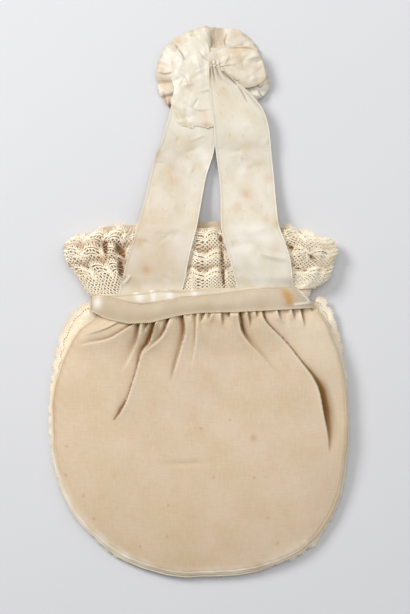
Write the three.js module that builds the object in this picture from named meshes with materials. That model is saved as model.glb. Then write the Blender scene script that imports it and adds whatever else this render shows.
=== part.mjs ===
import * as THREE from 'three';

// A gathered silk purse with lace tiers and a ribbon handle, lying on its front on a table.
// Millimetres. X runs across the purse, Y from the bag up to the handle, Z up from the table.

// Cloth walls and the clearance kept between pieces that touch
const SILK = 1.4;
const TRIM = 1.0;
const GAP = 0.3;

// The bag's outline: a superellipse about its widest line, rounder on the left than on the right
const BAG = { centreY: -78, halfWidth: 89.4, below: 87.5, above: 93, leftPower: 2.2, rightPower: 2.6 };
const BOTTOM_FLAT_ANGLE = 80;
const MOUTH_Y = 47;

// Half widths of the shoulders, waist and header above the superellipse
const SHOULDER_Y = -14;
const HEADER_WIDTHS = [
  { y: SHOULDER_Y, left: 68.7, right: 74.5 },
  { y: -2, left: 63, right: 65 },
  { y: 25, left: 70, right: 70 },
  { y: MOUTH_Y, left: 67, right: 67 },
];

// Height of the side seams, and how far the back rises and the front drops from it
const SECTIONS = [
  { y: -170, seam: 4.75, back: 8.2, front: 3.2 },
  { y: -78, seam: 4.75, back: 8.6, front: 3.2 },
  { y: -30, seam: 5.2, back: 7.8, front: 3.3 },
  { y: -12, seam: 7, back: 5.2, front: 2.2 },
  { y: -2, seam: 8.05, back: 3.6, front: 3.3 },
  { y: 12, seam: 8.2, back: 3.3, front: 3.3 },
  { y: MOUTH_Y, seam: 8.2, back: 3.3, front: 3.3 },
];
const PUFF_POWER = 4;
const FRONT_RIM_SHARE = 0.3;

// Folds that run down the back from the gathers: start, end, sideways bow, width and depth
const FOLDS = [
  { x0: -27, y0: -13, x1: -51, y1: -74, bow: 1, width: 9, depth: 2.6 },
  { x0: -9, y0: -11, x1: -18, y1: -52, bow: 1, width: 9, depth: 1.6 },
  { x0: -38, y0: -14, x1: -66, y1: -27, bow: -3, width: 8, depth: 1.2 },
  { x0: 25, y0: -9, x1: 47, y1: -46, bow: 3, width: 10, depth: 1.6 },
  { x0: 36, y0: -8, x1: 79, y1: -94, bow: 9, width: 9, depth: 2.6 },
];
const GATHER = { pitch: 19, depth: 0.9, reach: 26 };

// The waist and header lean: the right side sits higher than the left
const LEAN = { slope: 0.048, from: -110, full: -10, fadeFrom: MOUTH_Y, fadeTo: 75 };

// Rings round the waist and header: offsets from the wall on the back, the front and the sides
const DRAWSTRING = { rows: [-7, -2, 6.8], back: 2.6, front: 0.7, side: 1.8 };
const WAISTBAND = { rows: [-9.5, -2, 0.5], back: 4.1, front: 2.1, side: 3.8 };
const LACE_BASE_OFFSET = 0.4;
const LACE_RISE = { back: 2.4, front: 1.7, wave: 1.6, waves: 17 };
const LACE_TIERS = [
  { name: 'lace_tier_low', y0: 10, y1: 25, flare: 11 },
  { name: 'lace_tier_middle', y0: 21.5, y1: 36.5, flare: 11 },
  { name: 'lace_tier_top', y0: 33, y1: 45.5, flare: 9 },
];

// Lace edging round the bag, under the rim of the front panel
const EDGING = { inner: 0.88, peek: 2.2, shoulderPeek: 3, from: 139, to: 401, waves: 30, wave: 1.8 };

// Handle ribbons: edges at each height, and the height of the upper face above the table
const STRAP_LEFT = [
  { y: 60, left: -33.6, right: 0.9, z: 16.5 },
  { y: 75, left: -30.3, right: 3.9, z: 12.5 },
  { y: 90, left: -25.8, right: 8.4, z: 9.6 },
  { y: 105, left: -21.6, right: 9.6, z: 9 },
  { y: 122, left: -19.2, right: 9.6, z: 9 },
  { y: 137, left: -9, right: 9.6, z: 9 },
];
const STRAP_RIGHT = [
  { y: 60, left: 12.2, right: 45.6, z: 16.8 },
  { y: 75, left: 11.4, right: 44.4, z: 13.6 },
  { y: 90, left: 9.3, right: 42.9, z: 11.8 },
  { y: 105, left: 8.1, right: 41.1, z: 11.7 },
  { y: 115, left: 6.9, right: 37.2, z: 11.7 },
  { y: 126, left: 5.7, right: 27, z: 11.7 },
  { y: 137, left: 8.4, right: 18, z: 11.9 },
  { y: 143, left: 6.6, right: 30, z: 11.7 },
  { y: 151, left: 7.8, right: 34.2, z: 11.5 },
];
const RIBBON_TAIL = [
  { y: 105, left: -14.5, right: 6, z: 10.3 },
  { y: 122, left: -16.6, right: 7, z: 10.3 },
  { y: 140, left: -17, right: 8, z: 10.3 },
  { y: 152, left: -14.5, right: 8, z: 10.3 },
];

// Where the straps lie over the lace: edges at each height, and lift above the back wall
const STRAP_FEET = {
  left: [
    { y: 2, left: -49.2, right: -12, lift: 1.5 },
    { y: 6.8, left: -48, right: -10.4, lift: 2.2 },
    { y: 10, left: -47.4, right: -9.6, lift: 3.2 },
    { y: 25, left: -43, right: -6.6, lift: 7.2 },
    { y: 36.5, left: -40, right: -4, lift: 7.2 },
    { y: 46, left: -37.2, right: -1.4, lift: 6.8 },
  ],
  right: [
    { y: 2, left: 23.4, right: 56.4, lift: 1.5 },
    { y: 6.8, left: 22.2, right: 56, lift: 2.2 },
    { y: 10, left: 21.6, right: 55.8, lift: 3.2 },
    { y: 25, left: 17.6, right: 53.6, lift: 7.2 },
    { y: 36.5, left: 14.4, right: 50, lift: 7.2 },
    { y: 46, left: 12.3, right: 46.8, lift: 6.8 },
  ],
};

// Rosette: a pleated ribbon disc
const ROSETTE = { x: 7.8, y: 131.8, inner: 2.5, outer: 33.4, pleats: 12, height: 6.6, scallop: 0.9 };

// Mesh density
const COLUMNS = 30;
const EDGE_CROWDING = 0.5;
const BAG_ROWS = 8;
const SHOULDER_ROWS = 7;
const HEADER_ROWS = 5;
const SIDE_STEPS = 4;
const EDGING_STEPS = 66;
const RIBBON_STEPS = 2;
const RIBBON_COLUMNS = 3;
const ROSETTE_STEPS = 48;
const ROSETTE_ROWS = 3;

const silk = new THREE.MeshStandardMaterial({ color: '#d5c2a7', roughness: 0.6, metalness: 0 });
const lace = new THREE.MeshStandardMaterial({ color: '#e1d2ba', roughness: 0.85, metalness: 0 });
const satin = new THREE.MeshStandardMaterial({ color: '#e6ddcc', roughness: 0.4, metalness: 0 });
const braid = new THREE.MeshStandardMaterial({ color: '#d1bea2', roughness: 0.5, metalness: 0 });

const { lerp, smoothstep, clamp, degToRad } = THREE.MathUtils;
const range = (count, make) => Array.from({ length: count + 1 }, (_, i) => make(i / count));

// One named value of a table, eased between the rows on either side of y
function valueAt(table, column, y) {
  const last = table.length - 1;
  if (y <= table[0].y) return table[0][column];
  if (y >= table[last].y) return table[last][column];
  const i = table.findIndex((row) => row.y >= y);
  const share = smoothstep(y, table[i - 1].y, table[i].y);
  return lerp(table[i - 1][column], table[i][column], share);
}

// Every point of the purse passes through the lean of its waist and header
function leanAt(y) {
  const grown = smoothstep(y, LEAN.from, LEAN.full);
  const faded = 1 - smoothstep(y, LEAN.fadeFrom, LEAN.fadeTo);
  return LEAN.slope * grown * faded;
}
const placed = (x, y, z) => [x, y + leanAt(y) * x, z];

// Half width of the bag on its left (side -1) or right (side 1) at height y
function halfWidth(side, y) {
  if (y > SHOULDER_Y) return valueAt(HEADER_WIDTHS, side < 0 ? 'left' : 'right', y);
  const reach = y < BAG.centreY ? BAG.below : BAG.above;
  const power = side < 0 ? BAG.leftPower : BAG.rightPower;
  const share = Math.abs(y - BAG.centreY) / reach;
  return BAG.halfWidth * (1 - share ** power) ** (1 / power);
}
const acrossAt = (u, y) => u * halfWidth(Math.sign(u), y);

// Rows from the bottom edge to the mouth, closer together round the bottom's curve
const meanPower = (BAG.leftPower + BAG.rightPower) / 2;
const bottomRows = range(BAG_ROWS, (t) => {
  const angle = degToRad(BOTTOM_FLAT_ANGLE) * (1 - t);
  return BAG.centreY - BAG.below * Math.sin(angle) ** (2 / meanPower);
});
const waistY = HEADER_WIDTHS[1].y;
const shoulderRows = range(SHOULDER_ROWS, (t) => lerp(BAG.centreY, waistY, t));
const headerRows = range(HEADER_ROWS, (t) => lerp(waistY, MOUTH_Y, t));
const panelRows = [...bottomRows, ...shoulderRows.slice(1), ...headerRows.slice(1)];
const bottomY = panelRows[0];

// Columns from seam to seam, closer together at the rolled edges
const panelColumns = range(COLUMNS, (t) => {
  const even = 2 * t - 1;
  return lerp(even, Math.sin((even * Math.PI) / 2), EDGE_CROWDING);
});

// Share of the way from the widest line down to the bottom edge
const downShare = (y) => clamp((BAG.centreY - y) / (BAG.centreY - bottomY), 0, 1);

// Depth of the back's folds and waist gathers at a point
function foldDepth(x, y) {
  let depth = 0;
  for (const fold of FOLDS) {
    const alongX = fold.x1 - fold.x0;
    const alongY = fold.y1 - fold.y0;
    const length = Math.hypot(alongX, alongY);
    const t = ((x - fold.x0) * alongX + (y - fold.y0) * alongY) / length ** 2;
    if (t < 0 || t > 1) continue;
    const aside = ((y - fold.y0) * alongX - (x - fold.x0) * alongY) / length;
    const offset = (aside - 4 * fold.bow * t * (1 - t)) / fold.width;
    depth += fold.depth * Math.exp(-4 * offset ** 2) * Math.sin(Math.PI * t) ** 0.5;
  }
  const fade = Math.max(0, 1 - Math.abs(y - waistY) / GATHER.reach);
  const ripple = (1 + Math.cos((2 * Math.PI * x) / GATHER.pitch)) / 2;
  return depth + GATHER.depth * fade * ripple;
}

// Upper face of the back panel: a smooth crown, and the folds pressed into it
const puffAt = (u, y) => Math.sqrt((1 - Math.abs(u) ** PUFF_POWER) * (1 - downShare(y) ** PUFF_POWER));
function backCrown(u, y) {
  const edge = valueAt(SECTIONS, 'seam', y) + GAP / 2 + SILK;
  return edge + valueAt(SECTIONS, 'back', y) * puffAt(u, y);
}
const backTop = (u, y) => backCrown(u, y) - foldDepth(acrossAt(u, y), y) * puffAt(u, y);

// Share of the way from the bag's middle out to its rim
function rimShare(u, y) {
  if (y > BAG.centreY) return Math.abs(u);
  const power = u < 0 ? BAG.leftPower : BAG.rightPower;
  const across = Math.abs(acrossAt(u, y) / BAG.halfWidth) ** power;
  const down = ((BAG.centreY - y) / BAG.below) ** power;
  return (across + down) ** (1 / power);
}

// Under face of the front panel, flat on the table in the middle
function frontLow(u, y) {
  const drop = valueAt(SECTIONS, 'front', y) * smoothstep(1 - rimShare(u, y), 0, FRONT_RIM_SHARE);
  return valueAt(SECTIONS, 'seam', y) - GAP / 2 - SILK - drop;
}

// A closed wall between two grids of points. A looped wall joins its last column to its first.
function wallGeometry(outer, inner, looped = false) {
  const rows = outer.length;
  const columns = outer[0].length;
  const at = (face, i, j) => (face * rows + i) * columns + (j % columns);
  const index = [];
  const quad = (a, b, c, d) => index.push(a, b, c, a, c, d);
  const lastRow = rows - 1;
  const lastColumn = columns - 1;
  const spans = looped ? columns : lastColumn;
  for (let j = 0; j < spans; j += 1) {
    for (let i = 0; i < lastRow; i += 1) {
      quad(at(0, i, j), at(0, i, j + 1), at(0, i + 1, j + 1), at(0, i + 1, j));
      quad(at(1, i, j), at(1, i + 1, j), at(1, i + 1, j + 1), at(1, i, j + 1));
    }
    quad(at(1, 0, j), at(1, 0, j + 1), at(0, 0, j + 1), at(0, 0, j));
    quad(at(0, lastRow, j), at(0, lastRow, j + 1), at(1, lastRow, j + 1), at(1, lastRow, j));
  }
  for (let i = 0; i < lastRow && !looped; i += 1) {
    quad(at(1, i + 1, 0), at(1, i, 0), at(0, i, 0), at(0, i + 1, 0));
    quad(at(1, i, lastColumn), at(1, i + 1, lastColumn), at(0, i + 1, lastColumn), at(0, i, lastColumn));
  }
  const geometry = new THREE.BufferGeometry();
  const points = [...outer, ...inner].flat();
  geometry.setAttribute('position', new THREE.Float32BufferAttribute(points.flat(), 3));
  geometry.setIndex(index);
  geometry.computeVertexNormals();
  return geometry;
}

const purse = new THREE.Group();
purse.name = 'silk_purse';

function addPiece(name, geometry, material) {
  const mesh = new THREE.Mesh(geometry, material);
  mesh.name = name;
  purse.add(mesh);
}

// Bag panels, each one cloth from the bottom seam to the mouth. The plain front needs fewer rows.
function panelGeometry(rows, topAt) {
  const face = (drop) =>
    rows.map((y) => panelColumns.map((u) => placed(acrossAt(u, y), y, topAt(u, y) - drop)));
  return wallGeometry(face(0), face(SILK));
}
const frontRows = panelRows.filter((y, i) => y >= waistY || i % 2 === 0);
addPiece('back_panel', panelGeometry(panelRows, backTop), silk);
addPiece('front_panel', panelGeometry(frontRows, (u, y) => frontLow(u, y) + SILK), silk);

// Stations once round the bag: over the back, round the right side, under the front, round the left
const sideAngles = range(SIDE_STEPS, (t) => Math.PI * (0.5 - t)).slice(1, -1);
const stations = [
  ...panelColumns.map((u) => ({ over: 1, u })),
  ...sideAngles.map((angle) => ({ side: 1, angle })),
  ...[...panelColumns].reverse().map((u) => ({ over: -1, u })),
  ...[...sideAngles].reverse().map((angle) => ({ side: -1, angle })),
];

// A point of a ring at a station, lifted off the wall
function ringPoint(station, y, lift) {
  if (station.over > 0) return placed(acrossAt(station.u, y), y, backCrown(station.u, y) + lift.back);
  if (station.over < 0) return placed(acrossAt(station.u, y), y, frontLow(station.u, y) - lift.front);
  const high = backCrown(station.side, y) + lift.back;
  const low = frontLow(station.side, y) - lift.front;
  const x = station.side * (halfWidth(station.side, y) + lift.side * Math.cos(station.angle));
  return placed(x, y, lerp(low, high, (1 + Math.sin(station.angle)) / 2));
}

// A ring of cloth through rows of heights: liftAt gives its lift at a height and a share of the way round
function ringGeometry(rows, liftAt) {
  const face = (thickness) =>
    rows.map((y) =>
      stations.map((station, j) => {
        const lift = liftAt(y, j / stations.length);
        return ringPoint(station, y, {
          back: lift.back + thickness,
          front: lift.front + thickness,
          side: lift.side + thickness,
        });
      }));
  return wallGeometry(face(TRIM), face(0), true);
}
addPiece('drawstring_ribbon', ringGeometry(DRAWSTRING.rows, () => DRAWSTRING), satin);
addPiece('waistband', ringGeometry(WAISTBAND.rows, () => WAISTBAND), braid);

// Lace tiers, sewn down along their lower edge and flaring to a waved free edge
for (const tier of LACE_TIERS) {
  const laceLift = (y, turn) => {
    const rowShare = (y - tier.y0) / (tier.y1 - tier.y0);
    const wave = (1 + Math.cos(2 * Math.PI * LACE_RISE.waves * turn)) / 2;
    return {
      back: LACE_BASE_OFFSET + rowShare * (LACE_RISE.back + LACE_RISE.wave * wave),
      front: LACE_BASE_OFFSET + rowShare * LACE_RISE.front,
      side: LACE_BASE_OFFSET + TRIM + rowShare * tier.flare,
    };
  };
  addPiece(tier.name, ringGeometry([tier.y0, tier.y1], laceLift), lace);
}

// Lace edging: follows the outline from the left shoulder round the bottom to the right shoulder
function outlineRadius(angle) {
  const power = Math.cos(angle) < 0 ? BAG.leftPower : BAG.rightPower;
  const reach = Math.sin(angle) < 0 ? BAG.below : BAG.above;
  const across = Math.abs(Math.cos(angle) / BAG.halfWidth) ** power;
  const along = Math.abs(Math.sin(angle) / reach) ** power;
  return (across + along) ** (-1 / power);
}
const edgingFace = (thickness) =>
  [0, 1].map((rowShare) =>
    range(EDGING_STEPS, (turn) => {
      const angle = degToRad(lerp(EDGING.from, EDGING.to, turn));
      const radius = outlineRadius(angle);
      const peek = EDGING.peek + EDGING.shoulderPeek * Math.max(0, Math.sin(angle));
      const reach = lerp(radius + peek, radius * EDGING.inner, rowShare);
      const wave = (1 + Math.cos(2 * Math.PI * EDGING.waves * turn)) / 2;
      const z = EDGING.wave * wave * (1 - rowShare) + thickness;
      return placed(reach * Math.cos(angle), BAG.centreY + reach * Math.sin(angle), z);
    }));
addPiece('edge_lace', wallGeometry(edgingFace(TRIM), edgingFace(0)), lace);

// Ribbons: a strip through the rows of a table. A row with a lift rests over the back wall.
function ribbonPoint(row, share) {
  const x = lerp(row.left, row.right, share);
  if (row.lift === undefined) return new THREE.Vector3(x, row.y, row.z);
  const u = x / halfWidth(Math.sign(x), row.y);
  return new THREE.Vector3(x, row.y, backCrown(u, row.y) + row.lift);
}
function ribbonGeometry(rows) {
  const steps = (rows.length - 1) * RIBBON_STEPS;
  const threads = range(RIBBON_COLUMNS, (share) => {
    const points = rows.map((row) => ribbonPoint(row, share));
    return new THREE.CatmullRomCurve3(points, false, 'centripetal').getPoints(steps);
  });
  const face = (drop) =>
    threads[0].map((_, i) =>
      threads.map((thread) => placed(thread[i].x, thread[i].y, thread[i].z - drop)));
  return wallGeometry(face(0), face(TRIM));
}
addPiece('strap_left', ribbonGeometry([...STRAP_FEET.left, ...STRAP_LEFT]), satin);
addPiece('strap_right', ribbonGeometry([...STRAP_FEET.right, ...STRAP_RIGHT]), satin);
addPiece('ribbon_tail', ribbonGeometry(RIBBON_TAIL), satin);

// Rosette: pleats deepen from the gathered centre to the edge
const rosetteFace = (thickness) =>
  range(ROSETTE_ROWS, (rowShare) =>
    range(ROSETTE_STEPS, (turn) => -2 * Math.PI * turn).slice(0, -1).map((angle) => {
      const pleat = Math.cos(ROSETTE.pleats * angle);
      const edge = ROSETTE.outer + ROSETTE.scallop * pleat;
      const radius = lerp(ROSETTE.inner, edge, rowShare);
      const z = (ROSETTE.height * (1 + pleat * rowShare)) / 2;
      const x = ROSETTE.x + radius * Math.cos(angle);
      return [x, ROSETTE.y + radius * Math.sin(angle), z + thickness];
    }));
addPiece('rosette', wallGeometry(rosetteFace(TRIM), rosetteFace(0), true), satin);

export default purse;
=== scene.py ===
# %% [markdown]
# # A gathered silk purse
# This lesson dresses a purse that lies on its front, seen from straight above. The packed
# model gives the real sizes and places. Each piece here is cloth, lace or ribbon, so each is
# made from formulas that fold and gather a flat pattern, much as a maker would.

# %% Load the frame
import math

import bpy
import numpy as np
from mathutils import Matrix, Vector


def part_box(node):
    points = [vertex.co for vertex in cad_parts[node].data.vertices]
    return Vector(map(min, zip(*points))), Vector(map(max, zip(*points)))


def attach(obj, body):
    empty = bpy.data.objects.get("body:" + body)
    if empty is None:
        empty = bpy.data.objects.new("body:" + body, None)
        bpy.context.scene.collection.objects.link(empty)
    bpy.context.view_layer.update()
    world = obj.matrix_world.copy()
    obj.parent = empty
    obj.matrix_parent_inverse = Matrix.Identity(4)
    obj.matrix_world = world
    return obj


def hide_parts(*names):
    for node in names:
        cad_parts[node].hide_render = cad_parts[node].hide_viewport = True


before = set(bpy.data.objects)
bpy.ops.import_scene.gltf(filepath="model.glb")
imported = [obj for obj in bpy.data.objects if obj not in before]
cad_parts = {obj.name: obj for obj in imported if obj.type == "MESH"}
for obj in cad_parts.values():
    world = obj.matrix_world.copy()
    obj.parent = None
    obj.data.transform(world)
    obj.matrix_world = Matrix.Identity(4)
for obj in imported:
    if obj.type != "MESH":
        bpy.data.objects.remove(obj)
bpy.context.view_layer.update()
MM = 0.001
print("nodes", sorted(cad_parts))

# %% [markdown]
# ## Camera
# A copy stand looks straight down. A long distance keeps the scale of the rosette and the bag
# alike, as a real copy lens does. An orthographic camera would keep it too, but no lens sees
# quite that way. One pixel of the 410 by 614 picture is 0.6 mm at the cloth.

# %% Camera
PIXEL_MM = 0.6
PICTURE_HEIGHT = 614
VIEW_CENTRE = (3.0, -4.2)
CAMERA_HEIGHT = 1250
CLOTH_HEIGHT = 10

camera_data = bpy.data.cameras.new("copy_camera")
camera = bpy.data.objects.new("copy_camera", camera_data)
bpy.context.collection.objects.link(camera)
camera.location = (VIEW_CENTRE[0] * MM, VIEW_CENTRE[1] * MM, CAMERA_HEIGHT * MM)
half_view = PICTURE_HEIGHT * PIXEL_MM / 2
camera_data.lens = camera_data.sensor_width / 2 * (CAMERA_HEIGHT - CLOTH_HEIGHT) / half_view
bpy.context.scene.camera = camera
print("lens", round(camera_data.lens, 1), "mm")

# %% [markdown]
# ## Light
# The light is soft and comes mostly from above and the left. A large softbox hangs above, so
# that light reaches between the straps. A second light at the upper left models the folds and
# gives the shadow on the right, and a weak one at the right opens it. The grey world fills the
# rest. One sun lamp would be simpler, but its hard shadow would not suit. The Standard view
# keeps the colours of cloth as they are chosen.

# %% Light
WORLD_STRENGTH = 0.28


def linear(hex_colour):
    """An sRGB hex colour as the linear colour that nodes use."""
    channels = [int(hex_colour[i:i + 2], 16) / 255 for i in (0, 2, 4)]
    return [c / 12.92 if c <= 0.04045 else ((c + 0.055) / 1.055) ** 2.4 for c in channels] + [1]


def soft_light(name, place, size, watts):
    """A square area light that looks at the middle of the purse."""
    data = bpy.data.lights.new(name, "AREA")
    data.size = size
    data.energy = watts
    light = bpy.data.objects.new(name, data)
    bpy.context.collection.objects.link(light)
    light.location = place
    light.rotation_euler = (-light.location).to_track_quat("-Z", "Y").to_euler()


soft_light("softbox_above", place=(0.12, 0.40, 1.60), size=1.0, watts=9.4)
soft_light("window_left", place=(-0.85, 0.70, 0.95), size=0.55, watts=13.5)
soft_light("fill_right", place=(0.85, 0.4, 0.9), size=0.8, watts=1.5)

world = bpy.data.worlds.new("studio")
bpy.context.scene.world = world
world.use_nodes = True
background = world.node_tree.nodes["Background"]
background.inputs["Color"].default_value = linear("f1f3f5")
background.inputs["Strength"].default_value = WORLD_STRENGTH
bpy.context.scene.view_settings.view_transform = "Standard"

# %% [markdown]
# ## Materials as trees of nodes
# A material in Blender is a tree of nodes, boxes that pass colours and numbers on. One small
# function adds a node with its settings and links, so that a tree reads from top to bottom.
# The same trees could be drawn by hand in the shader editor, but a script repeats them exactly.

# %% Materials as trees of nodes
def add(tree, kind, settings=None, inputs=None):
    """A node of one kind, with its settings, and each input set or linked by name or number."""
    made = tree.nodes.new(kind)
    for name, value in (settings or {}).items():
        setattr(made, name, value)
    for name, value in (inputs or {}).items():
        if isinstance(value, bpy.types.NodeSocket):
            tree.links.new(value, made.inputs[name])
        else:
            made.inputs[name].default_value = value
    return made


def new_material(name):
    """An empty material and its node tree."""
    material = bpy.data.materials.new(name)
    material.use_nodes = True
    material.node_tree.nodes.clear()
    return material, material.node_tree


print("materials so far", len(bpy.data.materials))

# %% [markdown]
# ## Paper floor
# The purse lies on pale matt paper. One plain colour would look like an empty background, so a
# faint cloud of two greys lies on it. The floor is a hair below the lowest threads, so that no
# two faces share a plane.

# %% Paper floor
FLOOR_HALF = 2.5
FLOOR_DROP = 0.3
PAPER_CLOUD_MM = 250 / 3

# Matt paper scatters light evenly, so it shows soft shadows and no gloss. With no vector the
# noise runs from 0 to 1 across the floor, so its scale is the count of clouds side by side.
paper, tree = new_material("matt_pale_paper")
fibre = add(tree, "ShaderNodeTexNoise", None,
            {"Scale": 2 * FLOOR_HALF / (PAPER_CLOUD_MM * MM), "Detail": 3.0})
tone = add(tree, "ShaderNodeMix", {"data_type": "RGBA"},
           {0: fibre.outputs["Fac"], 6: linear("dedee0"), 7: linear("e1e1e3")})
shader = add(tree, "ShaderNodeBsdfPrincipled", None,
             {"Base Color": tone.outputs[2], "Roughness": 0.9})
add(tree, "ShaderNodeOutputMaterial", None, {"Surface": shader.outputs[0]})

floor_mesh = bpy.data.meshes.new("paper_floor")
corners = [(-FLOOR_HALF, -FLOOR_HALF, 0), (FLOOR_HALF, -FLOOR_HALF, 0),
           (FLOOR_HALF, FLOOR_HALF, 0), (-FLOOR_HALF, FLOOR_HALF, 0)]
floor_mesh.from_pydata(corners, [], [(0, 1, 2, 3)])
floor_mesh.materials.append(paper)
floor = bpy.data.objects.new("paper_floor", floor_mesh)
floor.location.z = -FLOOR_DROP * MM
bpy.context.collection.objects.link(floor)
print("floor", 2 * FLOOR_HALF, "m wide")

# %% [markdown]
# ## A mesh from points
# A mesh can be built face by face, which is slow for a million faces. Here whole arrays of
# points and faces go in at once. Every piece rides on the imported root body, because the purse
# has no joints, and says which material slot it fills.

# %% A mesh from points
def mesh_object(name, points, faces, material):
    """An object from points in millimetres and arrays of faces with equal corner counts."""
    mesh = bpy.data.meshes.new(name)
    corners = np.concatenate([f.ravel() for f in faces]).astype(np.int32)
    counts = np.concatenate([np.full(len(f), f.shape[1]) for f in faces]).astype(np.int32)
    mesh.vertices.add(len(points))
    mesh.vertices.foreach_set("co", (points * MM).astype(np.float32).ravel())
    mesh.loops.add(len(corners))
    mesh.loops.foreach_set("vertex_index", corners)
    mesh.polygons.add(len(counts))
    starts = np.concatenate([[0], np.cumsum(counts)[:-1]]).astype(np.int32)
    mesh.polygons.foreach_set("loop_start", starts)
    mesh.update(calc_edges=True)
    mesh.validate()
    mesh.polygons.foreach_set("use_smooth", np.ones(len(counts), bool))
    mesh.materials.append(material)
    made = bpy.data.objects.new(name, mesh)
    bpy.context.collection.objects.link(made)
    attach(made, "root")
    mesh.calc_loop_triangles()
    print(name, "triangles", len(mesh.loop_triangles))
    return made


def mark_points(mesh, marks):
    """Named values, one for each point of a mesh, which its material can read."""
    for mark, values in marks.items():
        attribute = mesh.attributes.new(mark, "FLOAT", "POINT")
        attribute.data.foreach_set("value", values.astype(np.float32))


print("meshes so far", len(bpy.data.meshes))

# %% [markdown]
# ## Measures of a grid
# Every cloth here starts as a grid of points, as woven cloth is a grid of threads. The grid's
# normals say where its under face goes. The lengths along its rows and columns give each
# point's place on the flat cloth. An unwrap tool could find those places too, less exactly.

# %% Measures of a grid
def unit(vectors):
    """Vectors scaled to length one."""
    length = np.linalg.norm(vectors, axis=-1, keepdims=True)
    return vectors / np.maximum(length, 1e-9)


def grid_normals(grid):
    """Normals of a grid whose columns run right and whose rows run up."""
    return unit(np.cross(np.gradient(grid, axis=1), np.gradient(grid, axis=0)))


def grid_lengths(grid):
    """Flat place of each grid point: distance across from the middle, and distance along."""
    across = np.linalg.norm(np.diff(grid, axis=1), axis=2)
    along = np.linalg.norm(np.diff(grid, axis=0), axis=2)
    across = np.concatenate([np.zeros((grid.shape[0], 1)), np.cumsum(across, axis=1)], axis=1)
    along = np.concatenate([np.zeros((1, grid.shape[1])), np.cumsum(along, axis=0)], axis=0)
    return np.stack([across - across[:, -1:] / 2, along], axis=2)


test_square = np.array([[(0, 0, 0), (10, 0, 0)], [(0, 10, 0), (10, 10, 0)]], float)
print("far corner of a 10 mm square", grid_lengths(test_square)[-1, -1])

# %% [markdown]
# ## Faces of a grid
# The points of a grid are numbered row by row. Four neighbours make a face, and the numbers
# round the outside make a rim, which can join two grids to a closed wall. Blender's own grid
# mesh could be bent instead, but its rim would have to be searched for.

# %% Faces of a grid
def border(index):
    """The numbers round a grid, counter-clockwise, with the first one again at the end."""
    return np.concatenate([index[0, :-1], index[:-1, -1], index[-1, :0:-1], index[::-1, 0]])


def quads(index, flip):
    """Four-cornered faces between the numbers of a grid."""
    ring = [index[:-1, :-1], index[:-1, 1:], index[1:, 1:], index[1:, :-1]]
    return np.stack([corner.ravel() for corner in (ring[::-1] if flip else ring)], axis=1)


print("round a grid of four points", border(np.arange(4).reshape(2, 2)))

# %% [markdown]
# ## Cloth from a grid
# A sheet with no thickness looks like paper from the side, so a second face lies under it along
# its normals, and a rim joins the two. The hidden face may be coarser. The flat places in
# millimetres go into a UV map, which is what a weave follows, and named values on the points
# mark where the cloth is stained or creased. A solidify modifier would also thicken it, but
# its hidden face would be as fine as the seen one.

# %% Cloth from a grid
CLOTH_SHARP = math.radians(60)


def cloth(name, top, thickness, material, marks, coarse=1, flat=None):
    """A closed wall of cloth under a grid. marks are named values, one for each grid point."""
    rows, columns = top.shape[:2]
    under = (top - grid_normals(top) * thickness)[::coarse, ::coarse]
    index = np.arange(rows * columns).reshape(rows, columns)
    below = rows * columns + np.arange(under.shape[0] * under.shape[1]).reshape(under.shape[:2])
    upper_rim, lower_rim = border(index), border(below)
    rim = [lower_rim[:-1], lower_rim[1:]]
    rim += [upper_rim[coarse - k:len(upper_rim) - k:coarse] for k in range(coarse)]
    rim += [upper_rim[:-1:coarse]]
    faces = [quads(index, False), quads(below, True), np.stack(rim, axis=1)]
    points = np.concatenate([top.reshape(-1, 3), under.reshape(-1, 3)])
    made = mesh_object(name, points, faces, material)
    mesh = made.data

    def doubled(values):
        return np.concatenate([values.ravel(), values[::coarse, ::coarse].ravel()])

    flat = grid_lengths(top) if flat is None else flat
    flat = np.stack([doubled(flat[..., 0]), doubled(flat[..., 1])], axis=1)
    corner_points = np.empty(len(mesh.loops), np.int32)
    mesh.loops.foreach_get("vertex_index", corner_points)
    layer = mesh.uv_layers.new(name="cloth_mm")
    layer.data.foreach_set("uv", flat[corner_points].astype(np.float32).ravel())
    spread = {mark: np.broadcast_to(values, (rows, columns)) for mark, values in marks.items()}
    mark_points(mesh, {mark: doubled(np.clip(values, 0, 1)) for mark, values in spread.items()})
    mesh.set_sharp_from_angle(angle=CLOTH_SHARP)
    return made


print("cloth is shaded smooth up to", round(math.degrees(CLOTH_SHARP)), "degrees")

# %% [markdown]
# ## Colours that vary
# Old cloth is never one colour. One function mixes a colour towards another by a value marked
# on the mesh, and one does so in soft clouds whose size is given in millimetres. A painted
# picture could do the same, but it would blur up close. A third function turns the spacing of
# threads into the scale of a wave texture.

# %% Colours that vary
# The wave texture multiplies its own scale by WAVE_SCALE.
WAVE_SCALE = 20


def tinted(tree, base, mark, colour):
    """A colour mixed towards another by a named value of the mesh."""
    value = add(tree, "ShaderNodeAttribute", {"attribute_name": mark}).outputs["Fac"]
    mixed = add(tree, "ShaderNodeMix", {"data_type": "RGBA"}, {0: value, 6: base, 7: linear(colour)})
    return mixed.outputs[2]


def clouded(tree, base, place, size_mm, colour, low, high, most):
    """A colour mixed towards another in clouds. size_mm is their size across and along."""
    scale = (1 / size_mm[0], 1 / size_mm[1], 1)
    stretched = add(tree, "ShaderNodeMapping", None, {"Vector": place, "Scale": scale})
    clouds = add(tree, "ShaderNodeTexNoise", None,
                 {"Vector": stretched.outputs[0], "Scale": 1.0, "Detail": 3.0})
    share = add(tree, "ShaderNodeMapRange", None,
                {"Value": clouds.outputs["Fac"], "From Min": low, "From Max": high, "To Max": most})
    mixed = add(tree, "ShaderNodeMix", {"data_type": "RGBA"},
                {0: share.outputs[0], 6: base, 7: linear(colour)})
    return mixed.outputs[2]


def thread_scale(spacing_mm):
    """Scale of a wave texture whose ribs lie at a spacing in millimetres."""
    return 2 * math.pi / (spacing_mm * WAVE_SCALE)


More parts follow.
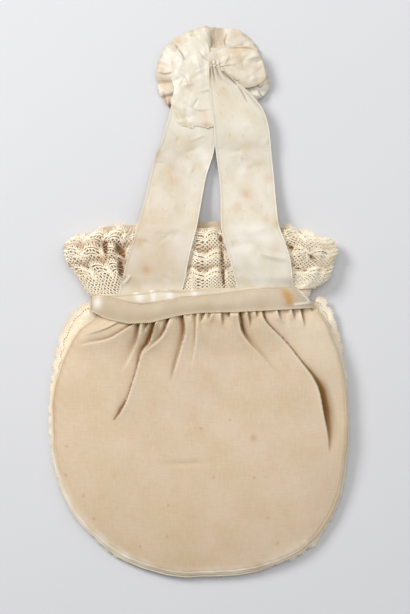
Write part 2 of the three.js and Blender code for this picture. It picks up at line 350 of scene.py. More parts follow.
print("threads 1 mm apart need a wave of scale", round(thread_scale(1), 3))

# %% [markdown]
# ## Silk
# The bag is a plain-woven silk that has aged from ivory to tan. Woven silk is matt along the
# thread and glows a little at a slant, so it has a low gloss and some sheen. Its threads lie
# about 0.3 mm apart, which is finer than a pixel, so the weave is drawn at 1.3 mm to show.
# Slubs, the thick places in a thread, give short streaks both ways. Folds are painted browner
# than the open cloth, as shade with some dirt, and small rust spots dot it. Rims and lips get
# painted highlights.

# %% Silk
WEAVE_MM = 1.3
THREAD_DEEP = 0.2 * MM

# Woven silk is matt with a faint glow, and its weave breaks up the light a little.
silk, tree = new_material("aged_plain_woven_silk")
place = add(tree, "ShaderNodeUVMap", {"uv_map": "cloth_mm"}).outputs[0]
colour = clouded(tree, linear("dfc9ad"), place, (24, 24), "d3bb94", 0.4, 0.7, 0.6)
colour = clouded(tree, colour, place, (9, 12), "dcb998", 0.5, 0.75, 0.45)
colour = clouded(tree, colour, place, (6, 1.1), "c0a27b", 0.45, 0.75, 0.2)
colour = clouded(tree, colour, place, (1.1, 6), "f0dfc2", 0.45, 0.75, 0.2)
# Painted light and shade ride on these marks with the real ones. The first browns the silk near its
# seam and paints shade towards the foot. The rim mark paints highlights on the rolled rim and the
# lips, with some rubbed wear, and the fold mark paints shade in creases and on the header wall, with
# some dirt.
colour = tinted(tree, colour, "age", "c39d6b")
colour = tinted(tree, colour, "rim", "faf0dc")
colour = tinted(tree, colour, "fold", "7d5208")
colour = tinted(tree, colour, "spots", "b07c45")
warp, weft = [
    add(tree, "ShaderNodeTexWave", {"bands_direction": way},
        {"Vector": place, "Scale": thread_scale(WEAVE_MM), "Distortion": 1.2, "Detail": 1.0})
    for way in ("X", "Y")]
weave = add(tree, "ShaderNodeMath", {"operation": "ADD"},
            {0: warp.outputs["Fac"], 1: weft.outputs["Fac"]})
bump = add(tree, "ShaderNodeBump", None,
           {"Height": weave.outputs[0], "Strength": 0.04, "Distance": THREAD_DEEP})
shader = add(tree, "ShaderNodeBsdfPrincipled", None, {
    "Base Color": colour, "Roughness": 0.62, "IOR": 1.5, "Sheen Weight": 0.2, "Sheen Roughness": 0.4,
    "Normal": bump.outputs[0]})
add(tree, "ShaderNodeOutputMaterial", None, {"Surface": shader.outputs[0]})
print(silk.name, "nodes", len(tree.nodes))

# %% [markdown]
# ## The bag's outline
# The bag is a flat pouch whose outline is a superellipse, a curve between an ellipse and a
# rounded square. Its left side is rounder than its right, and its left shoulder is a little
# squarer than its left foot. Above the shoulders, tables give the half widths of the header.
# A traced outline would fit as well, but a formula also gives every width inside it.

# %% The bag's outline
def node_box(name):
    """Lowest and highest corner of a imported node, in millimetres."""
    return np.array(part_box(name)) / MM


bag_low, bag_high = node_box("back_panel")
HALF_WIDTH = (bag_high[0] - bag_low[0]) / 2
CENTRE_Y = -78.0
BELOW = 87.5
ABOVE = 93.0
LEFT_POWER, RIGHT_POWER = 2.2, 2.6
LEFT_SHOULDER_POWER = 2.42
SHOULDER_Y, WAIST_Y, MOUTH_Y = -14.0, -2.0, 47.0
HEADER_Y = [SHOULDER_Y, -7.0, WAIST_Y, 25.0, MOUTH_Y]
HEADER_LEFT = [72.0, 61.0, 57.5, 76.0, 73.0]
HEADER_RIGHT = [74.5, 69.5, 65.0, 76.0, 70.0]
LEAN = 0.048


def smooth(value, low, high):
    """0 below low, 1 above high, and an even curve between."""
    t = np.clip((value - low) / (high - low), 0, 1)
    return t * t * (3 - 2 * t)


def bag_power(side, y):
    """How square the bag's outline is. Its left shoulder is squarer than its left foot."""
    return np.where(side < 0, np.where(y > CENTRE_Y, LEFT_SHOULDER_POWER, LEFT_POWER), RIGHT_POWER)


def half_width(side, y):
    """Half width of the bag at height y, on the left (side below 0) or the right."""
    power = bag_power(side, y)
    reach = np.where(y < CENTRE_Y, BELOW, ABOVE)
    share = np.clip(np.abs(y - CENTRE_Y) / reach, 0, 1)
    bag = HALF_WIDTH * (1 - share ** power) ** (1 / power)
    left, right = np.interp(y, HEADER_Y, HEADER_LEFT), np.interp(y, HEADER_Y, HEADER_RIGHT)
    header = np.where(side < 0, left, right)
    return np.where(y > SHOULDER_Y, header, bag)


def lean(y):
    """The waist and header lean, so that the right side sits higher than the left."""
    return LEAN * smooth(y, -110, -10) * (1 - smooth(y, MOUTH_Y, 75))


print("bag", round(2 * HALF_WIDTH), "mm wide")

# %% [markdown]
# ## The bag's height
# Two panels puff apart from the side seams, so the bag is highest in its middle. Tables give
# the height of the seam and the rise of the back from the bottom to the mouth. The right edge
# is firmer than the left. There the cloth keeps its height almost to the seam and then drops
# in a steep side. A seam sewn by hand wanders a little, and so does the rim.

# %% The bag's height
SEAM_GAP = 0.15
WALL = 1.4
SECTION_Y = [-170.0, CENTRE_Y, -30.0, -12.0, WAIST_Y, 12.0, MOUTH_Y]
SEAM_Z = [4.75, 4.75, 5.2, 7.0, 8.05, 8.2, 8.2]
BACK_RISE = [4.8, 5.8, 6.8, 5.2, 3.6, 3.3, 3.3]
BOTTOM_ANGLE = 86
BOTTOM_POWER = 2 / 2.4
BOTTOM_Y = CENTRE_Y - BELOW * math.sin(math.radians(BOTTOM_ANGLE)) ** BOTTOM_POWER


def eased(y, ys, values):
    """Values between the rows of a table, eased so that each row is a gentle shoulder."""
    y = np.clip(y, ys[0], ys[-1])
    i = np.clip(np.searchsorted(ys, y), 1, len(ys) - 1)
    ys, values = np.array(ys), np.array(values)
    return values[i - 1] + (values[i] - values[i - 1]) * smooth(y, ys[i - 1], ys[i])


def puff(u, y):
    """How far a panel stands off its seams: 0 at the rim, 1 in the middle."""
    down = np.clip((CENTRE_Y - y) / (CENTRE_Y - BOTTOM_Y), 0, 1)
    soft = np.abs(u) ** 4
    firm = 0.3 * soft + 0.7 * np.abs(u) ** 110
    right = (u > 0) * smooth(-y, 6, 24) * smooth(y, -130, -80)
    return (1 - soft + (soft - firm) * right) * (1 - down ** 4)


def rim_share(u, x, y):
    """Share of the way from the middle of the bag to its rim."""
    power = bag_power(u, y)
    down = np.clip((CENTRE_Y - y) / BELOW, 0, 1)
    bag = (np.abs(x / HALF_WIDTH) ** power + down ** power) ** (1 / power)
    return np.where(y > CENTRE_Y, np.abs(u), bag)


def back_crown(u, y):
    """Height of the back panel with no folds in it."""
    seam = eased(y, SECTION_Y, SEAM_Z) + SEAM_GAP + WALL
    return seam + eased(y, SECTION_Y, BACK_RISE) * puff(u, y)


def rim_wobble(x, y, rim):
    """How far the rim wanders in and out, as a hand-sewn seam does, fading inwards."""
    angle = np.arctan2(y - CENTRE_Y, x)
    wander = 0.35 * np.sin(7 * angle + 1) + 0.2 * np.sin(15 * angle + 2) + 0.12 * np.sin(41 * angle)
    share = wander * (1 - smooth(rim, 0, 14)) * smooth(-y, 12, 30)
    return share * np.cos(angle), share * np.sin(angle)


print("crown of the back", round(float(back_crown(0, CENTRE_Y)), 1), "mm up")

# %% [markdown]
# ## A panel's grid
# Both panels are drawn on one kind of grid. Its columns run from seam to seam and its rows from
# the bottom to the mouth. The rows at the bottom follow the curve of the outline, and the
# columns crowd towards the seams, where the cloth turns over. A square grid cut to the outline
# would have a ragged edge. The mouth dips towards its corners.

# %% A panel's grid
CORNER_DROP, RIGHT_DROP = 8, 6


def panel_grid(columns, bottom_rows, shoulder_rows, header_rows, mouth_y):
    """Places across and up a panel: u runs from seam to seam, y from the bottom to the mouth."""
    even = np.linspace(-1, 1, columns)
    u = 0.5 * even + 0.5 * np.sin(even * math.pi / 2)
    angle = np.radians(np.linspace(BOTTOM_ANGLE, 0, bottom_rows))
    rows = np.concatenate([
        CENTRE_Y - BELOW * np.sin(angle) ** BOTTOM_POWER,
        np.linspace(CENTRE_Y, WAIST_Y, shoulder_rows)[1:],
        np.linspace(WAIST_Y, mouth_y, header_rows)[1:],
    ])
    u, y = np.meshgrid(u, rows)
    x = u * half_width(u, y)
    drop = CORNER_DROP * smooth(np.abs(u), 0.76, 1.0) + RIGHT_DROP * smooth(u, 0.45, 0.75)
    return u, y - drop * smooth(y, 20, MOUTH_Y), x


print("a coarse grid has", panel_grid(5, 3, 3, 3, MOUTH_Y)[0].shape, "rows and columns")

# %% [markdown]
# ## Folds
# Gathered cloth falls in folds that start at the waistband and fade out. Each fold has a lip,
# where the cloth rolls over, and a valley beside it. A cloth simulation would put folds where
# it likes. A table of paths puts them where this purse has them. Each row gives a path from
# the waist down, the side of its lip (1 is right), and lists that change along the path: the
# valley's depth and width in millimetres, and how dark its crease is. Two rows also give the
# thickness of the crease's brown line. Short pleats stand between the folds.

# %% Folds
FOLDS = [
    dict(path=[(-26, -11), (-30, -24.6), (-34.8, -31), (-38.4, -42.6), (-43.2, -57.6),
               (-47, -66), (-50.7, -71.4)],
         lip=1, rise=1.4, deep=[3.4, 3.4, 2.6, 2.0, 1.9, 2.0, 0.1], wide=[4.5, 5, 5, 4.5, 3.5, 3, 2],
         dark=[1.0, 1.0, 0.8, 0.85, 0.9, 1.0, 0.8], line=[1.8, 2.0, 1.2, 0.5, 0.5, 1.1, 0.7]),
    dict(path=[(-17.6, -9), (-22.5, -20.8), (-31, -29.4)],
         lip=1, rise=1.0, deep=[2.8, 2.4, 0.5], wide=[3, 3, 2], dark=[1.0, 0.75, 0.1]),
    dict(path=[(-36, -12), (-37.2, -22), (-40.8, -31.8), (-47, -44)],
         lip=1, rise=0.7, deep=[2.4, 2.2, 1.2, 0.0], wide=[3, 5, 7, 7], dark=[1.0, 0.6, 0.2, 0.0]),
    dict(path=[(-10.2, -8), (-9, -18.4), (-11.4, -28.2), (-15, -40.2), (-17.6, -51.6)],
         lip=1, rise=1.0, deep=[2.8, 2.6, 1.7, 1.0, 0.0], wide=[4, 4.5, 4, 3, 2],
         dark=[1.0, 0.8, 0.5, 0.6, 0.0]),
    dict(path=[(-2.4, -8), (-3, -24.6), (-6, -42.6)],
         lip=1, rise=0.9, deep=[1.2, 0.8, 0.0], wide=[2, 1.4, 1.0], dark=[0.6, 0.4, 0.1]),
    dict(path=[(-40, -14), (-54, -22.5), (-66.6, -25.8), (-75, -28)],
         lip=1, rise=0.6, deep=[1.4, 1.2, 0.6, 0.0], wide=[1.2, 1.4, 3, 3], dark=[0.9, 0.7, 0.2, 0.0]),
    dict(path=[(-46, -12), (-58, -18), (-72, -22)],
         lip=-1, rise=0.4, deep=[0.9, 0.6, 0.0], wide=[3, 3, 3], dark=[0.1, 0.05, 0.0]),
    dict(path=[(23, -6), (25.2, -18.4), (31.2, -27), (36, -31.8), (44.8, -42.6)],
         lip=-1, rise=1.0, deep=[3.0, 2.6, 1.6, 1.1, 0.0], wide=[3.5, 3.5, 3, 3, 2],
         dark=[1.0, 0.9, 0.4, 0.3, 0.1]),
    dict(path=[(37, -6), (39.9, -13.2), (51, -24.6), (60.6, -36.6), (68.1, -46.6), (71.8, -55),
               (74.2, -67.2), (76.7, -79.6), (77.5, -87), (77.9, -91.8)],
         lip=-1, rise=1.0, deep=[2.8, 2.2, 1.6, 1.6, 1.8, 2.0, 1.9, 1.2, 0.6, 0.0],
         wide=[3, 2.2, 2, 2.2, 4, 7.5, 7.5, 4, 2, 1],
         dark=[1.0, 0.9, 0.8, 0.85, 0.95, 1.0, 1.0, 0.8, 0.5, 0.1],
         line=[1.0, 0.5, 0.45, 0.5, 1.3, 2.7, 2.9, 1.6, 0.8, 0.4]),
]
# Top, foot and side of the lip.
SHORT_PLEATS = [
    ((3.0, -7), (0.6, -14.5), 1), ((6.6, -7), (5.2, -13), 1), ((12.6, -6), (13.8, -16), -1),
    ((18.0, -6), (17.4, -12.5), 1), ((28.4, -6), (30.4, -17), -1), ((33.0, -6), (34.5, -11), -1),
    ((46.0, -5), (48.8, -12.5), -1), ((54.6, -4), (57.0, -12), -1), ((60.0, -4), (63.2, -17), -1),
    ((-31.0, -12), (-33.0, -20), 1),
]

for top, foot, lip in SHORT_PLEATS:
    middle = ((top[0] + foot[0]) / 2, (top[1] + foot[1]) / 2)
    FOLDS.append(dict(path=[top, middle, foot], lip=lip, rise=0.9,
                      deep=[2.4, 1.8, 0.0], wide=[2.2, 2.2, 1.5], dark=[1.0, 0.6, 0.0]))
print("folds", len(FOLDS))

# %% [markdown]
# ## Paths on the cloth
# A fold, a crease and a parting of the lace all follow a path drawn on the cloth. A smooth
# curve joins the few points of a path. Every grid point near it then finds its distance to one
# side and its share of the way along, which is all that the shapes below need to know.
# Blender's own curves could hold the paths, but plain arrays are quicker to measure from.

# %% Paths on the cloth
PATH_STEPS = 160


def curve_through(points, count):
    """A smooth curve through a few points (Catmull-Rom), as an array of count points."""
    points = np.array(points, float)
    ends = np.concatenate([[2 * points[0] - points[1]], points, [2 * points[-1] - points[-2]]])
    t = np.linspace(0, len(points) - 1, count)
    i = np.minimum(t.astype(int), len(points) - 2)
    f = (t - i)[:, None]
    a, b, c, d = ends[i], ends[i + 1], ends[i + 2], ends[i + 3]
    return 0.5 * (2 * b + (c - a) * f + (2 * a - 5 * b + 4 * c - d) * f ** 2
                  + (3 * b - a - 3 * c + d) * f ** 3)


def beside_path(x, y, path, reach):
    """Signed distance from a path (right is positive) and share along it, for the places near it."""
    line = curve_through(path, PATH_STEPS)
    step = unit(np.gradient(line, axis=0))
    near = ((x > line[:, 0].min() - reach) & (x < line[:, 0].max() + reach)
            & (y > line[:, 1].min() - reach) & (y < line[:, 1].max() + reach))
    px, py = x[near], y[near]
    best = ((px[:, None] - line[:, 0]) ** 2 + (py[:, None] - line[:, 1]) ** 2).argmin(axis=1)
    dx, dy = px - line[best, 0], py - line[best, 1]
    side = np.sign(-step[best, 1] * dx + step[best, 0] * dy)
    return near, side * np.hypot(dx, dy), best / (len(line) - 1)


def along_list(share, values):
    """A value between the even steps of a list."""
    return np.interp(share, np.linspace(0, 1, len(values)), values)


first_fold = np.diff(curve_through(FOLDS[0]["path"], PATH_STEPS), axis=0)
print("first fold", round(np.linalg.norm(first_fold, axis=1).sum()), "mm long")

# %% [markdown]
# ## Shape of a fold
# On one side of its path the cloth rises to the lip, and on the other it drops into the valley.
# Both fade with distance. A brown line of painted shade and some dirt lies in the valley, as
# thick as its row says or else a share of the valley's width. The rolled lip catches light, so
# it gets a painted highlight.

# %% Shape of a fold
LIP_EDGE, LIP_RISE, LIP_FADE = 0.6, 1.6, 4.5
BRIGHT_AT, BRIGHT_WIDE = 1.0, 0.8
FOLD_REACH = 24.0
LINE_SHARE, LINE_FADE, LINE_ENDS = 0.4, 0.875, (5.0, 9.0)


def folded(x, y):
    """Height that the folds add to the cloth, how dark its creases are, and how bright its lips."""
    height = np.zeros(x.shape)
    crease = np.zeros(x.shape)
    bright = np.zeros(x.shape)
    for fold in FOLDS:
        near, aside, share = beside_path(x, y, fold["path"], FOLD_REACH)
        d = aside * fold["lip"]
        deep, wide = along_list(share, fold["deep"]), along_list(share, fold["wide"])
        on_lip = smooth(d, -LIP_EDGE, LIP_EDGE)
        strength = deep / max(fold["deep"])
        lip = LIP_RISE * fold["rise"] * strength * on_lip * np.exp(-np.maximum(d, 0) / LIP_FADE)
        valley = deep * (1 - on_lip) * np.exp(-np.maximum(-d, 0) / wide)
        height[near] += lip - valley
        dark = along_list(share, fold["dark"])
        thick = along_list(share, fold.get("line", LINE_SHARE * np.array(fold["wide"])))
        line = np.exp(-np.maximum(-d - thick, 0) / (LINE_FADE * thick))
        line *= 1 - smooth(d, -0.3, 0.5)
        ends = 1 - smooth(np.abs(aside), *LINE_ENDS)
        crease[near] = np.maximum(crease[near], line * ends * dark)
        middle = np.sin(math.pi * np.clip(share, 0.02, 0.98)) ** 0.5
        rolled = np.exp(-((d - BRIGHT_AT) / BRIGHT_WIDE) ** 2) * strength * middle
        bright[near] = np.maximum(bright[near], rolled)
    return height, crease, bright


print("deepest fold", max(max(fold["deep"]) for fold in FOLDS), "mm")

# %% [markdown]
# ## Gathers and waves
# Between the folds the waistband draws the cloth into small swells that soon fade. The open
# cloth is never quite flat either, so long waves and one crease run through it. A few sines of
# unlike lengths are enough, where noise would look like pebbles. The band's ring on the waist
# sets how high the gathers under it may stand.

# %% Gathers and waves
BAND_X = [-90.0, -64.2, -55.8, -42.6, -29.6, -13.2, -1.2, 22.6, 46.2, 66.6, 90.0]
BAND_LOW = [-6.4, -6.6, -10.8, -13.6, -13.0, -8.8, -7.2, -6.6, -5.4, -4.2, -3.5]
WAIST_Z = 8.05
WAIST_HALF = WALL + SEAM_GAP + 3.6
WAIST_REACH = 67
BAND_LIFT = 4.0
GATHER_STEP, GATHER_HEIGHT = 6.8, 0.9
CREASE_X, CREASE_Y = -9, -98
CREASE_DEEP, CREASE_WIDE, CREASE_HALF = 0.55, 1.2, 13


def waist_gathers(x, y):
    """Small swells between the pleats, which start at the waistband and soon fade."""
    down = np.interp(x, BAND_X, BAND_LOW) - y
    phase = 2 * math.pi * x / GATHER_STEP + 1.3 * np.sin(x / 5.3) + 0.9 * np.sin(x / 2.9 + 1)
    length = 9 + 4 * np.sin(x / 7.1) + 2.5 * np.sin(x / 3.7 + 2)
    fade = np.clip(1 - np.abs(down) / length, 0, 1) ** 1.5
    return GATHER_HEIGHT * fade * smooth(-np.abs(x - 11), -60, -44) * np.cos(phase)


def long_waves(x, y):
    """The gentle unevenness of cloth that has been handled, and one crease across it."""
    swing = 0.30 + 0.35 * smooth(y, -80, -30)
    waves = swing * np.sin(x / 13 + 0.4 * np.sin(y / 17)) * np.sin(y / 19 + 1.1)
    waves += 0.14 * np.sin(x / 6.1 + y / 9.7) * np.sin(y / 7.9 + 0.6)
    aside = (y - CREASE_Y - 0.02 * x) / CREASE_WIDE
    along = (x - CREASE_X) / CREASE_HALF
    return waves - CREASE_DEEP * np.exp(-aside ** 2 - along ** 2)


def waist_height(x, lift):
    """Height of a ring of ribbon on the back of the waist, lifted off the cloth."""
    return WAIST_Z + (WAIST_HALF + lift) * np.sqrt(np.clip(1 - (x / WAIST_REACH) ** 4, 0, 1))


across = np.linspace(-40, 50, 200)
gathers = waist_gathers(across, np.interp(across, BAND_X, BAND_LOW))
print("gathers stand up to", round(gathers.max(), 2), "mm")

# %% [markdown]
# ## Marks of years and painted light
# Years leave brown specks and a rim rubbed pale in places. Painted light lifts the right
# shoulder, and painted shade with dirt darkens the wall where the lace parts. Each mark is a row
# with its place, its size in millimetres and its strength. Noise could scatter marks too, but
# not where this purse has them.

# %% Marks of years and painted light
# x, y, size and strength.
SPOTS = [
    (-80, -87.6, 0.9, 1), (-80.7, -105, 0.8, 1), (-70, -117.6, 1.0, 1), (-19, -123, 0.8, 1),
    (-19.5, -142, 0.8, 1), (-63.6, -131.4, 0.8, 1), (18, -72, 0.8, 1), (40.6, -130.8, 0.8, 1),
    (46.7, -145.8, 0.8, 1), (0.6, -77, 0.9, 1), (31.8, -82.7, 1.7, 1), (8, -106, 0.8, 1),
    (-36, -148, 0.7, 1), (32.4, -106.5, 0.9, 1),
]
RUBBED_RIM = [
    (41, -158.5, 3.0, 1), (46.5, -155.5, 4.0, 1), (53, -152.5, 3.5, 1), (58, -148.5, 4.0, 1),
    (63, -145, 2.5, 1), (-45, -155, 2.5, 1),
]
# Painted light on the right shoulder and beside the waist, in the same columns.
PAINTED_SHOULDER_LIGHT = [
    (66, -20, 16, 0.26), (80, -46, 13, 0.14), (68, 4, 4.5, 0.8),
]
# Path and width of each parting.
PARTINGS = [
    ([(-57.2, 36.0), (-56.8, 31.5), (-56.2, 27.0)], 1.3),
    ([(-49.6, 33.0), (-47.5, 29.5), (-45.5, 25.5)], 2.2),
    ([(-47.6, 24.5), (-47.2, 19.0), (-46.6, 13.5)], 1.5),
    ([(12.2, 39.0), (12.8, 34.0)], 1.0),
    ([(12.8, 34.0), (13.4, 24.0), (14.0, 14.0), (14.6, 7.0)], 0.8),
    ([(53.5, 33.0), (55.5, 30.0)], 1.5),
    ([(64.8, 27.2), (69.6, 23.0)], 0.8),
    ([(56.4, 19.4), (64.0, 17.2)], 0.8),
]


def blots(x, y, table):
    """Sum of soft round marks at the places of a table."""
    value = np.zeros(np.broadcast(x, y).shape)
    for mark_x, mark_y, size, strength in table:
        away = ((x - mark_x) ** 2 + (y - mark_y) ** 2) / size ** 2
        value += strength * np.exp(-away)
    return value


print("specks", len(SPOTS), "partings", len(PARTINGS))

# %% [markdown]
# ## Shape of the back
# The back is the face that is seen. Its folds, waves and gathers fade into a rim that rolls
# over a turned edge, with a seam line and fine puckers beside it. The cloth rises towards the
# waistband and stays under the band. Displacing a subdivided plane by a picture could do this,
# but a formula for each part keeps its size in millimetres.

# %% Shape of the back
RIM_SEAM_MM, SEAM_SUNK = 2.3, 0.2
BAND_RISE, RIGHT_LESS = 2.4, 1.2
EDGE_ROLLED, PUCKER_HEIGHT = 0.95, 0.22
BAND_CLEARANCE = 1.3

u, y, x = panel_grid(columns=301, bottom_rows=110, shoulder_rows=134, header_rows=15,
                     mouth_y=MOUTH_Y - 4)
true_y = y + lean(y) * x
rim = (1 - rim_share(u, x, y)) * HALF_WIDTH
height, crease, bright = folded(x, true_y)
inner = smooth(rim, 0.5, 12 - 9.5 * smooth(x, 40, 62))
below_band = smooth(-y, -4, 2)
seam_line = np.exp(-((rim - RIM_SEAM_MM) / 0.6) ** 2) * below_band
z = back_crown(u, y)
z += inner * below_band * (height + long_waves(x, true_y) + waist_gathers(x, true_y))
to_band = smooth(y, -36, -12) * (1 - smooth(y, -4, 6))
z += (BAND_RISE - RIGHT_LESS * smooth(x, 35, 60)) * to_band * inner
rolled_edge = np.exp(-(rim / 1.1) ** 2) * smooth(-y, 8, 30)
z -= SEAM_SUNK * seam_line + EDGE_ROLLED * rolled_edge
puckers = np.sin(x / 1.1 + y / 1.4 + 2 * np.sin(x / 11)) * np.exp(-rim / 4) * smooth(rim, 0, 2)
z += PUCKER_HEIGHT * puckers * below_band
under_band = np.maximum(np.interp(x, BAND_X, BAND_LOW) - true_y, 0)
z = np.minimum(z, waist_height(x, BAND_LIFT) - BAND_CLEARANCE + 1.2 * under_band)
wander_x, wander_y = rim_wobble(x, y, rim)
back_grid = np.stack([x + wander_x, true_y + wander_y, z], axis=2)
print("back stands", round(z.max(), 1), "mm high")

# %% [markdown]
# ## Back panel
# The silk is browner near its seam, and painted shade with some dirt browns its creases. Painted
# highlights with some rubbed wear pale the rolled rim, widest along the hem at the foot, and the
# lips, and painted light pales the right shoulder. The wall behind the lace is painted darkest,
# as shade and dirt, and painted shade darkens the lower left towards the foot. Each of these is a
# value from 0 to 1 on every point, and the silk turns it into colour.

# %% Back panel
SILK_THICKNESS = 1.0
PARTING_REACH = 12.0

foot = smooth(-y, 95, 130) * (1 - smooth(x, 20, 60))
rim_width = 1.5 - 0.8 * smooth(x, -10, 40) + 2.4 * foot
rim_highlight_and_wear = np.exp(-(rim / rim_width) ** 2) * smooth(-y, 8, 20)
rim_highlight_and_wear *= 0.6 + 0.2 * np.sin(x / 9 + y / 13) + 0.15 * np.sin(x / 3.1 - y / 4.3)
rim_highlight_and_wear *= 1 - 0.6 * smooth(-x, 30, 55) * smooth(y, -95, -70) + 0.6 * smooth(x, 45, 70)
rim_highlight_and_wear += 0.4 * blots(x, y, RUBBED_RIM)
sewn_line = 0.45 * np.exp(-((rim - 1.1) / 0.4) ** 2)
sewn_line *= smooth(-x, 30, 55) * smooth(y, -110, -80) * below_band
header_shade_and_dirt = 0.34 + 0.12 * smooth(-x, 44, 60) - 0.08 * smooth(x, 44, 60)
header_shade_and_dirt *= smooth(y, 2, 8) * (1 - 0.6 * smooth(y, 36, 42))
for path, width in PARTINGS:
    near, aside, _ = beside_path(x, true_y, path, PARTING_REACH)
    header_shade_and_dirt[near] = np.maximum(header_shade_and_dirt[near], np.exp(-(aside / (2.2 * width)) ** 2))
aged_rim = 0.2 * np.exp(-rim / 7) * below_band * (1 - 0.8 * smooth(x, 30, 60)) * (1 - 0.8 * foot)
aged_seam = 0.3 * seam_line * (1 - 0.7 * smooth(x, -20, 30)) * (1 - 0.6 * foot)
foot_shade = 0.15 * smooth(-y, 60, 160) * (1 - 0.7 * smooth(x, 0, 60))
# Painted light and shade are part of these marks: shade in the creases, on the header wall and towards
# the foot, and highlights on the rim, the lips and the right shoulder.
marks = dict(
    fold=np.maximum(np.maximum(crease * inner * below_band, sewn_line), header_shade_and_dirt),
    age=aged_rim + aged_seam + foot_shade,
    rim=np.maximum(rim_highlight_and_wear, 0.4 * bright * inner * below_band) + blots(x, true_y, PAINTED_SHOULDER_LIGHT),
    spots=0.5 * blots(x, true_y, SPOTS),
)
back_panel = cloth("purse_back", back_grid, SILK_THICKNESS, silk, marks, coarse=2,
                   flat=back_grid[..., :2])
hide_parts("back_panel")

# %% [markdown]
# ## Front panel
# The front lies on the table and is flat where it rests. It is the same silk, finished
# plainly. Its header stands a little above the back's, so its inner face shows at the mouth.
# The back turned over would do for the hidden side, but it would not lie flat on the table.

# %% Front panel
FRONT_RIM = 0.3
TABLE_GAP = 0.05
FRONT_DROP = [3.2, 3.2, 3.3, 2.2, 3.3, 3.3, 3.3]

u, y, x = panel_grid(columns=110, bottom_rows=44, shoulder_rows=36, header_rows=20, mouth_y=MOUTH_Y)
true_y = y + lean(y) * x
rim = (1 - rim_share(u, x, y)) * HALF_WIDTH
drop = eased(y, SECTION_Y, FRONT_DROP) * smooth(1 - rim_share(u, x, y), 0, FRONT_RIM)
z = eased(y, SECTION_Y, SEAM_Z) - SEAM_GAP - WALL - drop + SILK_THICKNESS + TABLE_GAP
z += 0.35 * smooth(y, 20, 46) * (1 + np.sin(x / 4.1 + 0.8 * np.sin(x / 9)))
wander_x, wander_y = rim_wobble(x, y - 3, rim)
wander_y = wander_y - 1.3 * smooth(-y, 130, 160) * (1 - smooth(x, 30, 60))
front_grid = np.stack([x + wander_x, true_y + wander_y, z], axis=2)
# The rim mark paints a highlight along the front's rolled rim.
marks = dict(fold=0, age=0.2 * np.exp(-rim / 5), spots=0, rim=0.6 * np.exp(-(rim / 1.5) ** 2))
front_panel = cloth("purse_front", front_grid, SILK_THICKNESS, silk, marks,
                    flat=front_grid[..., :2])
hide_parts("front_panel")

# %% [markdown]
# ## Flat lace
# Lace is threads with air between them. A picture with holes would look flat from the side, so
# each thread is made by itself. The lace is drawn flat first: s runs along it and h from the
# sewn edge to the scallops. Slanting threads cross in a net. Firm threads follow the scallops,
# with a row of slots between them, and picots, small loops, stand along the edge. A real net
# is about 1 mm wide. It is drawn coarser here, so that its threads show in the picture.

# %% Flat lace
HEADER_LACE = dict(scallop=12.0, deep=4.2, net=2.4, slots=1.9, picot=1.9, loops=1.8, thread=0.31)
FIRM_THREADS = [0.0, 1.15, 3.0, 4.1]
SEWN_THREADS = [0.0, 0.8]
# Thickness of firm threads, of bars between slots and of picots, as shares of the net's thread.
FIRM, BAR, LOOP = 1.15, 0.9, 0.75
CLIMB_STEPS, NET_POINTS, EDGE_POINTS = 80, 13, 25


def scallop_edge(s, height, lace):
    """Height of the scalloped edge, without its picots."""
    arch = np.abs(np.sin(math.pi * s / lace["scallop"])) ** 0.6
    return height - lace["picot"] - lace["deep"] * (1 - arch)


def lace_threads(scallops, height, lace):
    """Flat lace: groups of threads as arrays of (s, h) points, each with a thread radius."""
    length = scallops * lace["scallop"]
    thread = lace["thread"]
    groups = []
    count = int(round(length / lace["net"]))
    start = np.arange(count)[:, None] * length / count
    steps = np.linspace(0, height, CLIMB_STEPS)
    for way in (1, -1):
        inside = steps < scallop_edge(start + way * steps, height, lace) - FIRM_THREADS[-1]
        climb = steps[inside.argmin(axis=1)][:, None] * np.linspace(0, 1, NET_POINTS)
        groups.append((np.stack([start + way * climb, climb], axis=2), thread))
    run = (np.linspace(0, 1, EDGE_POINTS) + np.arange(scallops)[:, None]) * lace["scallop"]
    for deep in FIRM_THREADS:
        groups.append((np.stack([run, scallop_edge(run, height, lace) - deep], axis=2), FIRM * thread))
    for sewn in SEWN_THREADS:
        groups.append((np.stack([run, np.full(run.shape, sewn)], axis=2), thread))
    slots = np.arange(0, length, lace["slots"])[:, None]
    rise = scallop_edge(slots, height, lace) - np.linspace(FIRM_THREADS[2], FIRM_THREADS[1], 3)
    groups.append((np.stack(np.broadcast_arrays(slots, rise), axis=2), BAR * thread))
    loops = np.arange(0, length, lace["loops"])[:, None]
    rise = scallop_edge(loops, height, lace) + lace["picot"] * np.array([0.0, 0.7, 1.0, 0.7, 0.0])
    loops = loops + lace["loops"] * np.array([-0.35, -0.22, 0.0, 0.22, 0.35])
    groups.append((np.stack([loops, rise], axis=2), LOOP * thread))
    return groups, length


sample, _ = lace_threads(1, 15.0, HEADER_LACE)
print("one scallop of lace has", sum(len(paths) for paths, _ in sample), "threads")

# %% [markdown]
# ## Lace cotton
# The threads are soft cotton, matt with a little sheen. Each has a tone of its own between ivory
# and cream, and those that lie deep are painted brown, as shade and some soiling. A single even
# cream would look moulded.

# %% Lace cotton
# Spun cotton is matt and a little hairy, so its edges glow.
lace_cotton, tree = new_material("cream_cotton_lace_thread")
colour = tinted(tree, linear("fff6e2"), "tone", "fdebc8")
# Threads that lie in shade under a tier or in a parting are painted brown, as shade and soiling.
colour = tinted(tree, colour, "soil", "9a6226")
shader = add(tree, "ShaderNodeBsdfPrincipled", None, {
    "Base Color": colour, "Roughness": 0.85, "IOR": 1.5, "Sheen Weight": 0.2, "Sheen Roughness": 0.5})
add(tree, "ShaderNodeOutputMaterial", None, {"Surface": shader.outputs[0]})
print(lace_cotton.name, "nodes", len(tree.nodes))

# %% [markdown]
# ## Threads as tubes
# A thread is a thin tube along its path. Soft cotton lies flat, so a tube is wider than it is
# tall, and four sides are enough at this size. Curves with a bevel would make tubes too, but
# thousands of them are slow.

# %% Threads as tubes
TUBE_SIDES = 4
TUBE_WIDE, TUBE_TALL = 1.55, 0.55


